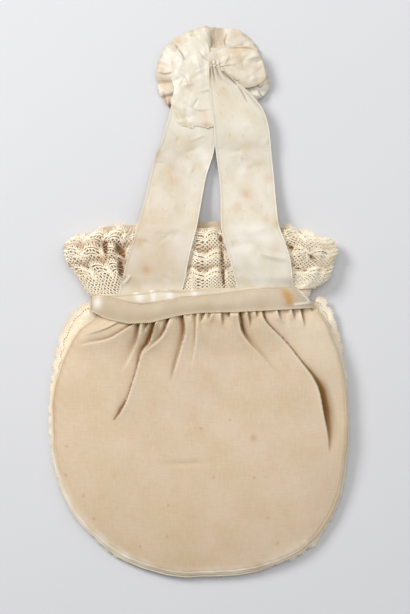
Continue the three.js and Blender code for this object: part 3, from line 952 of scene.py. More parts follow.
def tubes(paths, normals, radius):
    """Points and faces of thin tubes along many paths of equal length, a little flattened."""
    along = unit(np.gradient(paths, axis=1))
    aside = unit(np.cross(along, normals))
    up = unit(np.cross(aside, along))
    turn = (np.arange(TUBE_SIDES) + 0.5) * 2 * math.pi / TUBE_SIDES
    ring = TUBE_WIDE * np.cos(turn)[:, None] * aside[:, :, None, :]
    ring = ring + TUBE_TALL * np.sin(turn)[:, None] * up[:, :, None, :]
    points = paths[:, :, None, :] + radius * ring
    many, long = paths.shape[:2]
    index = np.arange(many * long * TUBE_SIDES).reshape(many, long, TUBE_SIDES)
    beside = np.roll(index, -1, axis=2)
    walls = np.stack([index[:, :-1], index[:, 1:], beside[:, 1:], beside[:, :-1]], axis=3)
    return points.reshape(-1, 3), [walls.reshape(-1, 4), index[:, 0], index[:, -1, ::-1]]


sample_path = np.linspace((0, 0, 0), (5, 0, 0), 13)[None]
sample_points, _ = tubes(sample_path, np.array([0, 0, 1.0]), HEADER_LACE["thread"])
print("a header thread is", np.ptp(sample_points[:, 1:], axis=0).round(2), "mm wide and tall")

# %% [markdown]
# ## Lace of tubes
# The purse carries its lace on curved cloth, so a function says where each point of the flat
# lace goes and how much painted shade and soiling it has there. The slope beside a point turns
# its tube to lie flat.
# Each thread has a tone by chance, and threads thin out where the lace parts. A modifier could
# bend flat lace onto a surface too, but it could not thin the threads.

# %% Lace of tubes
SEED = 11
random = np.random.default_rng(SEED)
SLOPE_STEP = 0.4
THINNED, PARTED_FROM, PARTED_TO = 0.96, 0.72, 0.92
LACE_SHARP = math.radians(50)


def lace_object(name, groups, place):
    """Lace of tubes on a surface: place turns (s, h) into points and painted shade and soiling."""
    points, faces, tones, shades_and_soils = [], [], [], []
    total = 0
    for flat, radius in groups:
        s, h = flat[..., 0], flat[..., 1]
        where, soil = place(s, h)
        across = place(s + SLOPE_STEP, h)[0] - place(s - SLOPE_STEP, h)[0]
        up = place(s, h + SLOPE_STEP)[0] - place(s, h - SLOPE_STEP)[0]
        thin = radius * (1 - THINNED * smooth(soil, PARTED_FROM, PARTED_TO))
        made, parts = tubes(where, unit(np.cross(across, up)), thin[:, :, None, None])
        points.append(made)
        faces += [part + total for part in parts]
        tones.append(np.repeat(random.uniform(0, 1, len(flat)), made.shape[0] // len(flat)))
        shades_and_soils.append(np.repeat(soil.ravel(), TUBE_SIDES))
        total += len(made)
    made = mesh_object(name, np.concatenate(points), faces, lace_cotton)
    mark_points(made.data, dict(tone=np.concatenate(tones), soil=np.concatenate(shades_and_soils)))
    made.data.set_sharp_from_angle(angle=LACE_SHARP)
    area = sum(p.area for p in made.data.polygons)
    print("its threads have", round(area, 4), "m2 of surface")
    return made, area


print("chance numbers start from seed", SEED)

# %% [markdown]
# ## Ring round the header
# The lace circles the flattened header from the left side over the back, and returns along the
# front. A ring path runs once round it in even steps of length, so that scallops keep one size
# at the sharp sides too. Even steps of angle would crowd them there.

# %% Ring round the header
RING_STEPS = 720
RING_WIDE, RING_TALL = 75, 8
RING_MID_Z = 8.2
RING_HALF = WALL + SEAM_GAP + 3.3


def ring_angles():
    """Angles round the header's section at even steps of length, from the left side over the back."""
    angle = np.linspace(math.pi, -math.pi, RING_STEPS)
    section_x = RING_WIDE * np.sign(np.cos(angle)) * np.abs(np.cos(angle)) ** 0.5
    steps = np.hypot(np.diff(section_x), np.diff(RING_TALL * np.sin(angle)))
    walked = np.concatenate([[0], np.cumsum(steps)])
    return walked / walked[-1], angle, walked[-1]


TURN, ANGLE, RING_LENGTH = ring_angles()


def ring_point(turn, y, lift_back, lift_front, lift_side):
    """A place on a ring round the header. turn is the share of the way round."""
    angle = np.interp(turn % 1.0, TURN, ANGLE)
    cos, sin = np.cos(angle), np.sin(angle)
    lift = lift_front + (lift_back - lift_front) * smooth(sin, -0.35, 0.35)
    width = np.where(cos < 0, half_width(-1, y), half_width(1, y)) + lift_side
    return width * np.sign(cos) * np.abs(cos) ** 0.5, RING_MID_Z + (RING_HALF + lift) * sin, sin


print("ring round the header", round(RING_LENGTH), "mm")

# %% [markdown]
# ## Tiers of header lace
# Three tiers of lace ring the header. Each is sewn on along its lower edge and lies over the
# tier above. Tables give the height of each tier's free edge from left to right, and how far
# the lace stands out at the two sides from the waist up. A few ruffles stand higher than the
# rest, and the straps press the lace flat. Real lace of this kind is gathered to about 1.7
# times the length that it covers.

# %% Tiers of header lace
# x, y, size and lift.
RUFFLES = [
    (-53.0, 30.5, 3.5, 1.2), (63.0, 30.0, 6.0, 2.0), (73.0, 33.0, 4.0, 1.0),
    (-66.0, 30.0, 5.0, 0.8),
]
TIER_X = [-84, -56, -38, -28, 0, 15, 37, 60, 84]
LOW_TIPS = [24, 28.5, 24.6, 22.5, 19.8, 19.8, 19.5, 18.5, 18]
MIDDLE_TIPS = [36, 38, 34.8, 33, 30.6, 30.6, 30.5, 30.5, 28]
TOP_TIPS = [40, 47.5, 47, 40, 43.5, 43.5, 38.5, 41.5, 33]
TIERS = [
    dict(name="purse_lace_low", node="lace_tier_low", sewn=4.0, tips=LOW_TIPS, under=[2] * 9,
         base=1.0, rise=2.3, over=0.6, front=0),
    dict(name="purse_lace_middle", node="lace_tier_middle", sewn=13.0, tips=MIDDLE_TIPS,
         under=LOW_TIPS, base=0.8, rise=2.0, over=0.3, front=0),
    dict(name="purse_lace_top", node="lace_tier_top", sewn=24.0, tips=TOP_TIPS, under=MIDDLE_TIPS,
         base=0.5, rise=1.7, over=0.0, front=1.5),
]
SIDE_Y = [2, 4, 10, 15, 20, 26, 31, 36, 40, 44]
SIDE_LEFT = [3.5, 3.2, 2.0, 1.2, 0.8, 2.6, 5.4, 6.4, 5.0, 1.0]
SIDE_RIGHT = [1.6, 4.3, 6.3, 5.9, 5.2, 5.4, 4.9, 2.7, 1.1, 0.8]
print("tiers", [tier["name"] for tier in TIERS])

# %% [markdown]
# ## Partings and pressed lace
# At a few places the lace parts, and its threads move aside and plunge to the wall in a crease
# that is also painted dark as shade. Under a strap it cannot stand up. Both are worked out from
# the place alone, so that all three tiers share them. A dark line painted on even lace alone
# would look flat from the side.

# %% Partings and pressed lace
# Middle of each strap at its foot, and how far it slants for each millimetre up.
STRAP_MIDDLES = [(-28.5, 0.25), (38.7, -0.25)]


def parted(x, y):
    """How far the lace sinks at its partings, and how far its threads move aside there."""
    sink = np.zeros(np.shape(x))
    shift = np.zeros(np.shape(x))
    for path, width in PARTINGS:
        near, aside, along = beside_path(x, y, path, 5 * width)
        wide = width * (0.3 + 0.7 * np.sin(math.pi * along))
        sink[near] = np.maximum(sink[near], np.exp(-(np.abs(aside) / wide) ** 2))
        shift[near] += np.sign(aside) * 0.6 * wide * np.exp(-np.abs(aside) / (2 * wide))
    return sink, shift


def standing(x, y):
    """How freely the lace stands: 1 in the open, little under the straps."""
    free = 1.0
    for middle, slant in STRAP_MIDDLES:
        free = free - 0.85 * smooth(-np.abs(x - middle - slant * (y - 9)), -23, -19)
    return free


print("lace under the left strap stands", round(float(standing(STRAP_MIDDLES[0][0], 9)), 2))

# %% [markdown]
# ## Shape of a tier
# A tier is laid on its ring point by point. It bellies out towards its free edge, and every
# scallop puffs by a chance amount and slips a little up or down, as gathered lace does. Where a
# tier comes out from under the one below it, its threads are painted brown as shade and soiling,
# and so is the front half. A cloth simulation of so many threads would take hours and would not
# stop at these partings.

# %% Shape of a tier
def tier_place(tier, scallops, height):
    """The gathered ring that one tier of lace lies on, and its painted shade and soiling."""
    scallop = HEADER_LACE["scallop"]
    length = scallops * scallop
    puffs = random.uniform(0.4, 1.3, scallops + 1)
    slips = random.uniform(-1.3, 1.3, scallops + 1)
    puffs[-1], slips[-1] = puffs[0], slips[0]
    stations = np.arange(scallops + 1) * scallop

    def place(s, h):
        turn = s / length
        share = h / height
        near_x = ring_point(turn, 20.0, 4.0, 1.0, 8.0)[0]
        tip = np.interp(near_x, TIER_X, tier["tips"]) + np.interp(s % length, stations, slips)
        angle = np.interp(turn % 1.0, TURN, ANGLE)
        tip = tip + tier["front"] * smooth(-np.sin(angle), 0.0, 0.5)
        y = tier["sewn"] + (tip - tier["sewn"]) * share
        belly = np.sin(np.clip(share, 0, 1.1) * math.pi * 0.62)
        puff = -np.cos(2 * math.pi * s / scallop) * np.interp(s % length, stations, puffs) * share
        puff = puff + 0.35 * np.sin(2 * math.pi * s / 5.3 + 2 * np.sin(s / 15)) * share
        here_x = ring_point(turn, y, 4.0, 1.0, 2.0)[0]
        lift = standing(here_x, y) * (tier["base"] + tier["rise"] * belly + puff)
        left, right = np.interp(y, SIDE_Y, SIDE_LEFT), np.interp(y, SIDE_Y, SIDE_RIGHT)
        side = np.where(near_x < 0, left, right)
        side = 0.8 + side * smooth(share, -0.1, 0.3) + tier["over"] + 0.5 * puff
        side = side + 0.45 * np.sin(2.5 * y + 2 * np.sin(s / 3))
        x, z, sin = ring_point(turn, y, lift, 0.5 + 1.5 * share, side)
        below = y - np.interp(x, TIER_X, tier["under"])
        y = y + lean(y) * x
        on_back = smooth(sin, 0.1, 0.5)
        z = z + blots(x, y, RUFFLES) * on_back
        sink, shift = parted(x, y)
        sink, shift = sink * on_back, shift * on_back
        z = z + (RING_MID_Z + (RING_HALF + 0.35) * sin - z) * sink
        # Painted shade, with some soiling: below the tier over it, in partings and on the front.
        tucked = (0.55 - 0.4 * smooth(x, 50, 62)) * np.exp(-np.maximum(below, 0) / 1.3)
        soil = np.maximum(tucked, 0.95 * sink)
        soil = np.maximum(soil, 0.25 * smooth(-sin, 0.25, 0.6) * (1 - 0.8 * smooth(y, 34, 42)))
        return np.stack([x + shift, y, z], axis=-1), soil

    return place


print("scallops are", HEADER_LACE["scallop"], "mm wide")

# %% [markdown]
# ## Header lace
# Each tier is drawn flat with whole scallops, laid on its ring, and stands for one imported node.
# The flat strip is a little longer and taller than its place on the ring. One loop makes all
# three, because only their rows differ.

# %% Header lace
RING_SLACK, TIER_SLACK = 1.06, 1.08

for tier in TIERS:
    scallops = int(round(RING_LENGTH * RING_SLACK / HEADER_LACE["scallop"]))
    tall = TIER_SLACK * (np.mean(tier["tips"]) - tier["sewn"])
    groups, length = lace_threads(scallops, tall, HEADER_LACE)
    made, area = lace_object(tier["name"], groups, tier_place(tier, scallops, tall))
    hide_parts(tier["node"])

# %% [markdown]
# ## Path of the edging
# A narrower lace is sewn under the bag's seam and comes down to the table. It has the same net
# as the header's lace with smaller scallops, and shows as a fringe past the outline, most of
# all at the two shoulders. A table gives how far it peeks out at each angle round the bag,
# from the left shoulder round the foot to the right. One even width would hide that.

# %% Path of the edging
EDGE_ANGLE = [126, 138, 147, 154, 162, 170, 182, 205, 226, 236, 246, 270, 300, 314, 324, 345,
              372, 387, 391, 395, 398, 401, 404, 407]
EDGE_PEEK = [8, 11, 8, 5.0, 3.4, 2.8, 1.7, 1.0, 0.8, 2.2, 1.2, 1.2, 1.4, 3.0, 1.2, 0.2,
             0.5, 2.0, 3.4, 4.2, 5.2, 7.2, 7.6, 7.4]
EDGE_FROM, EDGE_TO = EDGE_ANGLE[0], EDGE_ANGLE[-1]


def outline_radius(angle):
    """Distance from the bag's middle to its seam in a direction."""
    power = bag_power(np.cos(angle), CENTRE_Y + np.sin(angle))
    reach = np.where(np.sin(angle) < 0, BELOW, ABOVE)
    shape = np.abs(np.cos(angle) / HALF_WIDTH) ** power + np.abs(np.sin(angle) / reach) ** power
    return shape ** (-1 / power)


sweep = np.radians(np.linspace(EDGE_FROM, EDGE_TO, 400))
outline = outline_radius(sweep) * np.array([np.cos(sweep), np.sin(sweep)])
seam_run = np.hypot(np.diff(outline[0]), np.diff(outline[1])).sum()
print("seam under the edging", round(seam_run), "mm")

# %% [markdown]
# ## Edge lace
# The strip is laid along that path. It starts under the seam, waves a little, and stands up at
# the right shoulder, where it is pushed against the rim. The left side has yellowed more. The
# same threads and tubes as in the header make it, so only the placing is new.

# %% Edge lace
EDGE_LACE = dict(scallop=7.0, deep=1.6, net=1.6, slots=1.4, picot=2.2, loops=1.6, thread=0.4)
EDGE_HEIGHT = 13.0
EDGE_SOIL_LEFT, EDGE_SOIL_RIGHT = 0.09, 0.02
SEAM_UNDER = 1.6


def edge_place(length):
    """The strip under the rim that the edging lies on."""
    def place(s, h):
        degrees = EDGE_FROM + (EDGE_TO - EDGE_FROM) * s / length
        angle = np.radians(degrees)
        peek = np.interp(degrees, EDGE_ANGLE, EDGE_PEEK) + 0.5 * np.sin(s / 1.7) * np.sin(s / 6.3)
        past = peek - (EDGE_HEIGHT - h)
        radius = outline_radius(angle) + past
        share = h / EDGE_HEIGHT
        wave = 0.5 + 0.5 * np.sin(s / 2.4 + 0.9 * np.sin(s / 7.0))
        stands = np.where(np.cos(angle) > 0, 0.75, 0.2)
        z = 0.5 + share * (0.1 + 0.5 * wave) + stands * np.maximum(peek - 2, 0) * share ** 2
        x = radius * np.cos(angle)
        y = CENTRE_Y + radius * np.sin(angle)
        seam = SEAM_UNDER + 0.8 * (eased(y, SECTION_Y, SEAM_Z) - SEAM_Z[0])
        z = z + seam * smooth(past, -16, -4) * np.exp(-(np.maximum(past, 0) / 5) ** 2)
        soil = np.where(x < 0, EDGE_SOIL_LEFT, EDGE_SOIL_RIGHT)
        return np.stack([x, y + lean(y) * x, z], axis=-1), soil

    return place


scallops = int(round(seam_run / EDGE_LACE["scallop"]))
groups, edge_run = lace_threads(scallops, EDGE_HEIGHT, EDGE_LACE)
edge_lace, area = lace_object("purse_edge_lace", groups, edge_place(edge_run))
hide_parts("edge_lace")

# %% [markdown]
# ## Satin ribbon
# The drawstring, the handle and the rosette are satin ribbon. Satin floats its threads over
# many others, so its face is smooth and bright. It has yellowed in golden clouds like dried
# water, with small specks, and stains sit where it was handled. Pale marks paint highlights on
# it, and brown ones paint shade with some dirt in its creases and pleats. Fine ribs run across
# it, drawn at 1.2 mm where real ones are about half that. The drawstring keeps more gloss, and
# the waistband is a tanner, ribbed weave.

# %% Satin ribbon
RIB_MM = 1.2


def satin_material(name, base, cloud, roughness):
    """Aged satin: two tones, golden tide marks, stains, pale selvedges and painted light and shade."""
    material, tree = new_material(name)
    place = add(tree, "ShaderNodeUVMap", {"uv_map": "cloth_mm"}).outputs[0]
    colour = clouded(tree, linear(base), place, (14, 20), cloud, 0.4, 0.65, 0.9)
    colour = clouded(tree, colour, place, (11, 15), "dcc28c", 0.54, 0.76, 0.35)
    colour = clouded(tree, colour, place, (3.2, 4.2), "d8b878", 0.6, 0.72, 0.45)
    # Pale selvedges and painted highlights, stains, and painted shade with some dirt in creases.
    colour = tinted(tree, colour, "selvedge", "faf5ea")
    colour = tinted(tree, colour, "stain", "cb9a55")
    colour = tinted(tree, colour, "fold", "8a5a28")
    threads = add(tree, "ShaderNodeTexWave", {"bands_direction": "Y"},
                  {"Vector": place, "Scale": thread_scale(RIB_MM), "Distortion": 1.2, "Detail": 1.0})
    bump = add(tree, "ShaderNodeBump", None,
               {"Height": threads.outputs["Fac"], "Strength": 0.06, "Distance": THREAD_DEEP})
    shader = add(tree, "ShaderNodeBsdfPrincipled", None, {
        "Base Color": colour, "Roughness": roughness, "IOR": 1.5, "Sheen Weight": 0.12,
        "Sheen Roughness": 0.3, "Normal": bump.outputs[0]})
    add(tree, "ShaderNodeOutputMaterial", None, {"Surface": shader.outputs[0]})
    return material


# Old satin is smooth but no longer bright, so its lights are broad and soft.
satin = satin_material("aged_ivory_satin_ribbon", "e8e1d2", "dcd2ba", 0.45)
# The drawstring was kept from light and wear, so its lights are narrower.
glossy_satin = satin_material("glossy_ivory_satin_ribbon", "e2d3b9", "d3c1a3", 0.32)
# The ribbed weave of the band is darker, and its threads dull it.
band_satin = satin_material("ribbed_tan_waistband", "d0bea2", "c6b193", 0.42)
print("satins", [made.name for made in (satin, glossy_satin, band_satin)])

# %% [markdown]
# ## Ring round the waist
# A satin ribbon circles the waist, and a narrow band with a picot edge lies over it. Both are
# rings with an upper and a lower edge. Tables give the edges on the back, from left to right.
# On the hidden front they run straight. A curve with a flat profile would twist at the sides.

# %% Ring round the waist
WAIST_COLUMNS = 480
WAIST_LEFT, WAIST_RIGHT = 63.0, 65.0
FRONT_LOW, FRONT_HIGH = -9.6, 2.0
LEFT_RISE, RIGHT_FALL = 7, 5


def waist_ring(low_table, high_table, rows, lift_back, lift_front, side, bulge, extra):
    """A ring of ribbon. Tables give its edges on the back, and extra adds height there."""
    angle = np.interp(np.linspace(0, 1, WAIST_COLUMNS), TURN, ANGLE)
    cos, sin = np.cos(angle), np.sin(angle)
    width = np.where(cos < 0, WAIST_LEFT, WAIST_RIGHT) + side
    x = width * np.sign(cos) * np.abs(cos) ** 0.5
    on_back = smooth(sin, -0.1, 0.25)
    front_low = LEAN * x + FRONT_LOW + LEFT_RISE * smooth(-x, 42, 60)
    front_high = LEAN * x + FRONT_HIGH - RIGHT_FALL * smooth(x, 45, 62)
    low = on_back * np.interp(x, *low_table) + (1 - on_back) * front_low
    high = on_back * np.interp(x, *high_table) + (1 - on_back) * front_high
    share = np.linspace(0, 1, rows)[:, None]
    y = low + (high - low) * share
    lift = lift_front + (lift_back - lift_front) * on_back
    lift = lift + bulge * np.sin(math.pi * share) ** 0.7 + extra(x, share) * on_back
    z = WAIST_Z + (WAIST_HALF + lift) * sin
    return np.stack(np.broadcast_arrays(x, y, z), axis=2)


print("waist ring", WAIST_LEFT + WAIST_RIGHT, "mm wide")

# %% [markdown]
# ## Drawstring ribbon
# On the back the band sags to the left, so more of the ribbon shows above it there, in soft
# bright swells with painted highlights. A thin painted shadow lies where the band crosses it.
# The ribbon is glossier than the straps, so even low swells read as light and shade. Painted
# stripes alone would not move with light.

# %% Drawstring ribbon
BAND_TOP_X = [-90.0, -66.0, -60.6, -42.6, -34.2, -22.5, -10.8, 10.8, 31.8, 57.0, 62.0, 66.0, 90.0]
BAND_TOP = [3.0, 2.4, 2.8, -1.8, -3.0, -1.2, 1.2, 3.0, 6.0, 7.4, 4.4, -0.2, -2.5]
RIBBON_TOP_X = [-90.0, -66.0, -48.6, -34.2, -24.8, -13.2, 2.4, 22.6, 34.2, 57.5, 66.6, 90.0]
RIBBON_TOP = [3.0, 3.6, 3.6, 4.8, 6.6, 6.0, 7.2, 7.2, 7.8, 7.8, -1.0, -2.0]
RIBBON_LOW_X = [-90.0, -59.0, -56.0, 90.0]
RIBBON_LOW = [-6.0, -6.0, -8.0, -3.8]
# Place and width of each swell.
RIBBON_SWELLS = [(-36.0, 2.6), (-27.5, 2.0), (-18.0, 3.2), (-3.0, 2.4)]
RIBBON_LIFT = 2.8
DRAWSTRING_THICKNESS = 0.5


def ribbon_ripples(x, share):
    """Soft swells along the ribbon's upper part, each with a place and a width."""
    swell = np.zeros(np.shape(x))
    for middle, wide in RIBBON_SWELLS:
        swell = swell + np.exp(-((x - middle) / wide) ** 2)
    return 0.8 * swell * share


ribbon_grid = waist_ring((RIBBON_LOW_X, RIBBON_LOW), (RIBBON_TOP_X, RIBBON_TOP), rows=18,
                         lift_back=RIBBON_LIFT, lift_front=0.9, side=3.0, bulge=0.8,
                         extra=ribbon_ripples)
x, y = ribbon_grid[..., 0], ribbon_grid[..., 1]
share = np.linspace(0, 1, len(x))[:, None]
swells = np.clip(ribbon_ripples(x, np.ones(x.shape)), 0, 1)
# Painted highlights on the swells, and a painted shadow along the band's top edge.
shine = swells * smooth(y, -3, 1) * (1 - smooth(share, 0.82, 0.95))
top_line = 0.4 * np.exp(-((share - 0.9) / 0.04) ** 2) * smooth(-x, -30, 20)
band_shadow = 0.55 * np.exp(-((y - np.interp(x, BAND_TOP_X, BAND_TOP) - 0.3) / 0.5) ** 2)
marks = dict(stain=0, fold=np.maximum(band_shadow, top_line), selvedge=shine)
drawstring = cloth("purse_drawstring", ribbon_grid, DRAWSTRING_THICKNESS, glossy_satin, marks)
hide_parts("drawstring_ribbon")

# %% [markdown]
# ## Waistband
# The band is uneven, with a fine rib along both edges. At its left end the ribbon comes over it
# in a glossy hump with a painted highlight, and at the right a turned corner of it shows as a
# white line. A brown stain sits beside the corner. Hump and corner are heights added to the
# ring, not pieces of their own.

# %% Waistband
BAND_THICKNESS = 0.6
STAIN_SHARE = 0.8
TURNED_CORNER = [(58.5, 7.0), (62.0, 3.2), (65.4, -1.2), (61.5, -2.2), (57.0, -2.7)]
BAND_STAINS = [
    (52.5, 2.5, 2.8, 1.2), (53.5, -1.5, 2.4, 1.0), (50.0, 5.0, 2.4, 0.7),
]


def left_hump(x):
    """Height shares of the glossy hump at the band's left end and of its narrow outer fold."""
    return np.exp(-((x + 61.5) / 2.8) ** 2) + 0.8 * np.exp(-((x + 66.6) / 1.1) ** 2)


def band_waves(x, share):
    """The band's slight unevenness, its fine ribs along both edges, and the hump at its left end."""
    edge = np.exp(-(share / 0.08) ** 2) + np.exp(-((1 - share) / 0.08) ** 2)
    hump = left_hump(x) * np.sin(math.pi * share) ** 0.5
    return 0.25 * np.sin(x / 9.0 + 2 * share) + 0.3 * edge + hump


band_grid = waist_ring((BAND_X, BAND_LOW), (BAND_TOP_X, BAND_TOP), rows=26, lift_back=BAND_LIFT,
                       lift_front=1.6, side=3.4, bulge=0.9, extra=band_waves)
x, y = band_grid[..., 0], band_grid[..., 1]
near, aside, _ = beside_path(x, y, TURNED_CORNER, 4.0)
corner = np.zeros(x.shape)
corner[near] = 0.85 * np.exp(-(aside / 0.75) ** 2) * (band_grid[..., 2][near] > WAIST_Z)
band_grid[..., 2] += 0.4 * corner
seam = 0.5 * np.exp(-((x + 65.2) / 0.5) ** 2) + 0.06 * smooth(-x, 5, 35) * smooth(x, -62, -54)
# Painted highlight on the hump, and the band paler towards the right.
hump_highlight_and_pale_right = 0.8 * left_hump(x) * np.exp(-((y + 2.0) / 3.6) ** 2) + 0.12 * smooth(x, 15, 50)
marks = dict(stain=STAIN_SHARE * blots(x, y, BAND_STAINS), fold=seam,
             selvedge=np.maximum(corner, hump_highlight_and_pale_right))
waistband = cloth("purse_waistband", band_grid, BAND_THICKNESS, band_satin, marks)
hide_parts("waistband")

# %% [markdown]
# ## Picot edge
# Tiny loops of thread stand along the band's lower edge. One tube that steps out and in, with
# four points to a loop, is enough at this size, and it follows the edge of the finished band.
# Loops modelled one by one would be finer than a pixel.

# %% Picot edge
PICOT_STEP, PICOT_POINTS = 1.2, 4
PICOT_OUT, PICOT_IN = -0.6, 0.1
PICOT_THREAD = 0.2
PICOT_MARKS = dict(tone=1.0, soil=0.2)

edge = band_grid[0]
walked = np.concatenate([[0], np.cumsum(np.linalg.norm(np.diff(edge, axis=0), axis=1))])
places = np.arange(0, walked[-1], PICOT_STEP / PICOT_POINTS)
picot_path = np.stack([np.interp(places, walked, edge[:, k]) for k in range(3)], axis=1)
outward = np.arange(len(places)) % PICOT_POINTS < PICOT_POINTS / 2
picot_path[:, 1] += np.where(outward, PICOT_OUT, PICOT_IN)
points, faces = tubes(picot_path[None], np.array([0, 0, 1.0]), PICOT_THREAD)
picots = mesh_object("purse_band_picots", points, faces, lace_cotton)
mark_points(picots.data, {mark: np.full(len(points), value) for mark, value in PICOT_MARKS.items()})
print("picots", len(places) // PICOT_POINTS)

# %% [markdown]
# ## Creases in ribbon
# Satin that has been handled keeps creases. A crease is a straight ridge with two flat sides,
# as pressed satin keeps, and some also get a thin brown line of painted shade and dirt. Noise
# would give soft lumps, so many short ridges at chance places make the crumpled look.

# %% Creases in ribbon
def creased(x, y, creases):
    """Height that creases add: each has a start, an end, a width and a height."""
    added = np.zeros(x.shape)
    for start, end, width, height in creases:
        near, aside, share = beside_path(x, y, [start, end], 2 * width)
        ridge = np.clip(1 - np.abs(aside) / (1.6 * width), 0, 1)
        added[near] += height * np.sin(math.pi * share) * ridge
    return added


def crease_lines(x, y, lines):
    """Painted shade and dirt along creases: each line has a path, a width and a darkness."""
    found = np.zeros(x.shape)
    for path, width, dark in lines:
        near, aside, share = beside_path(x, y, path, 4 * width)
        value = dark * np.sin(math.pi * share) ** 0.4 * np.exp(-(aside / width) ** 2)
        found[near] = np.maximum(found[near], value)
    return found


def crumples(count, low, high, height):
    """Short creases at random places of a box, as handled satin has."""
    made = []
    for _ in range(count):
        start = random.uniform(low, high)
        turn = random.uniform(0, math.pi)
        reach = random.uniform(5, 15)
        end = start + reach * np.array([math.cos(turn), math.sin(turn)])
        width = random.uniform(0.7, 2.2)
        made.append((start, end, width, height * random.uniform(-1, 1)))
    return made


test_height = creased(np.array([5.0]), np.array([0.0]), [((0, 0), (10, 0), 2.0, 1.0)])
print("middle of a crease 1 mm high", test_height.round(2))

# %% [markdown]
# ## Handle straps
# Two lengths of wide ribbon rise from the waist to the rosette. Each row of a table gives a
# place along the strap, the ribbon's two edges there and its height above the table. The straps
# lie over the lace, sink towards the table beyond it, and rise again onto the rosette. Stains
# and painted highlights are rows as on the silk.

# %% Handle straps
# y, left edge, right edge and z.
STRAP_LEFT = [
    (0.0, -49.5, -12.0, 14.6), (6.0, -48.2, -10.6, 14.7), (9.0, -47.4, -9.7, 14.9),
    (14.0, -46.0, -8.6, 15.4), (25.0, -43.4, -6.6, 16.2), (36.5, -39.6, -3.8, 16.0),
    (43.0, -37.8, -2.0, 15.0), (49.0, -36.2, -0.9, 12.2), (56.0, -34.4, 0.3, 9.0),
    (64.0, -32.4, 1.7, 6.6), (75.0, -30.0, 3.9, 5.2), (88.0, -26.4, 8.0, 5.2),
    (97.0, -22.6, 9.2, 6.4), (105.0, -20.2, 9.6, 7.0), (122.0, -15.6, 9.6, 7.4),
    (137.0, -9.0, 9.6, 7.4),
]
STRAP_RIGHT = [
    (0.0, 24.0, 56.6, 14.6), (6.0, 22.6, 56.0, 14.7), (9.0, 21.8, 55.7, 14.9),
    (14.0, 20.4, 55.2, 15.4), (25.0, 17.4, 53.8, 16.2), (36.5, 14.2, 50.2, 16.0),
    (43.0, 12.7, 47.7, 15.0), (49.0, 12.4, 46.6, 12.2), (56.0, 12.35, 46.0, 9.2),
    (64.0, 12.2, 45.3, 7.0), (75.0, 11.4, 44.4, 6.0), (88.0, 9.6, 43.1, 6.2),
    (97.0, 8.7, 42.2, 7.6), (105.0, 8.1, 41.1, 8.4), (114.0, 7.0, 38.0, 9.0),
    (121.0, 6.2, 33.0, 9.3), (127.0, 5.6, 27.0, 9.6), (133.0, 5.4, 19.5, 9.9),
    (139.5, 5.4, 14.2, 10.2),
]
# x, y, size and strength.
STRAP_STAINS = [
    (-25.8, 88, 3, 0.5), (-18, 78, 4, 0.3), (-15.6, 71, 2.5, 0.4), (28, 64, 3, 0.5),
    (30, 78, 3, 0.3), (41, 73, 3, 0.4), (16, 114, 7, 0.25), (14, 124, 4, 0.3), (-37, 34, 3.5, 0.4),
    (-32, 18, 3, 0.5), (40, 48, 2.5, 0.4), (-6, 96, 5, 0.25), (30, 92, 6, 0.2), (22, 56, 3, 0.3),
    (47, 46, 2.5, 0.5), (45, 30, 4, 0.3), (-28, 20, 18, 0.4), (-26, 44, 9, 0.2),
    (-18, 64, 24, 0.12), (29, 64, 16, 0.08),
]
# Painted highlights on the straps: x, y, size and strength.
STRAP_SHINE = [
    (3, 86, 3.6, 0.9), (0, 91, 3.0, 0.7), (4.5, 80, 2.2, 1), (27, 78, 4, 0.6), (24, 73, 3, 0.4),
    (33, 41, 5, 0.8), (25, 37, 4, 0.6), (40, 37, 4, 0.6), (29, 30, 4, 0.4), (50, 17, 3.5, 0.5),
    (38, 14, 4, 0.5), (-13, 34, 4, 0.4),
]
print("rows of the straps", len(STRAP_LEFT), len(STRAP_RIGHT))

# %% [markdown]
# ## A ribbon through rows
# A smooth curve joins the rows of a table, and even steps across it make the ribbon's grid. A
# path with a flat profile would give the ribbon one width, and this one narrows.

# %% A ribbon through rows
def ribbon_through(table, columns, rows):
    """A ribbon's grid through rows of (y, left, right, z)."""
    line = curve_through(table, rows)
    share = np.linspace(0, 1, columns)[None, :]
    x = line[:, 1:2] + (line[:, 2:3] - line[:, 1:2]) * share
    y = np.repeat(line[:, :1], columns, axis=1)
    z = np.repeat(line[:, 3:4], columns, axis=1)
    return x, y, z, share


print("grid of a short ribbon", ribbon_through(STRAP_LEFT, columns=3, rows=5)[0].shape)

# %% [markdown]
# ## One strap
# Soft sags and creases cross the ribbon. Its two selvedges, the woven edges, are thicker and
# paler, with a painted highlight and a thin line of painted shade beside them. The foot is
# tucked under the drawstring, and the top of the right strap is drawn together in small pleats,
# whose valleys are painted darker as shade. Painted shade also dims the middle of the straps.
# Two straps made by hand would need each change twice, so one function makes both.

# %% One strap
SELVEDGE, SELVEDGE_HIGH = 0.9, 0.22
SAG, STRAP_PLEATS = 0.4, 4.5
LINE_DEEP = 0.5
SHINE_SHARE = 0.8
TUCK = 1.4
SATIN_THICKNESS = 0.45


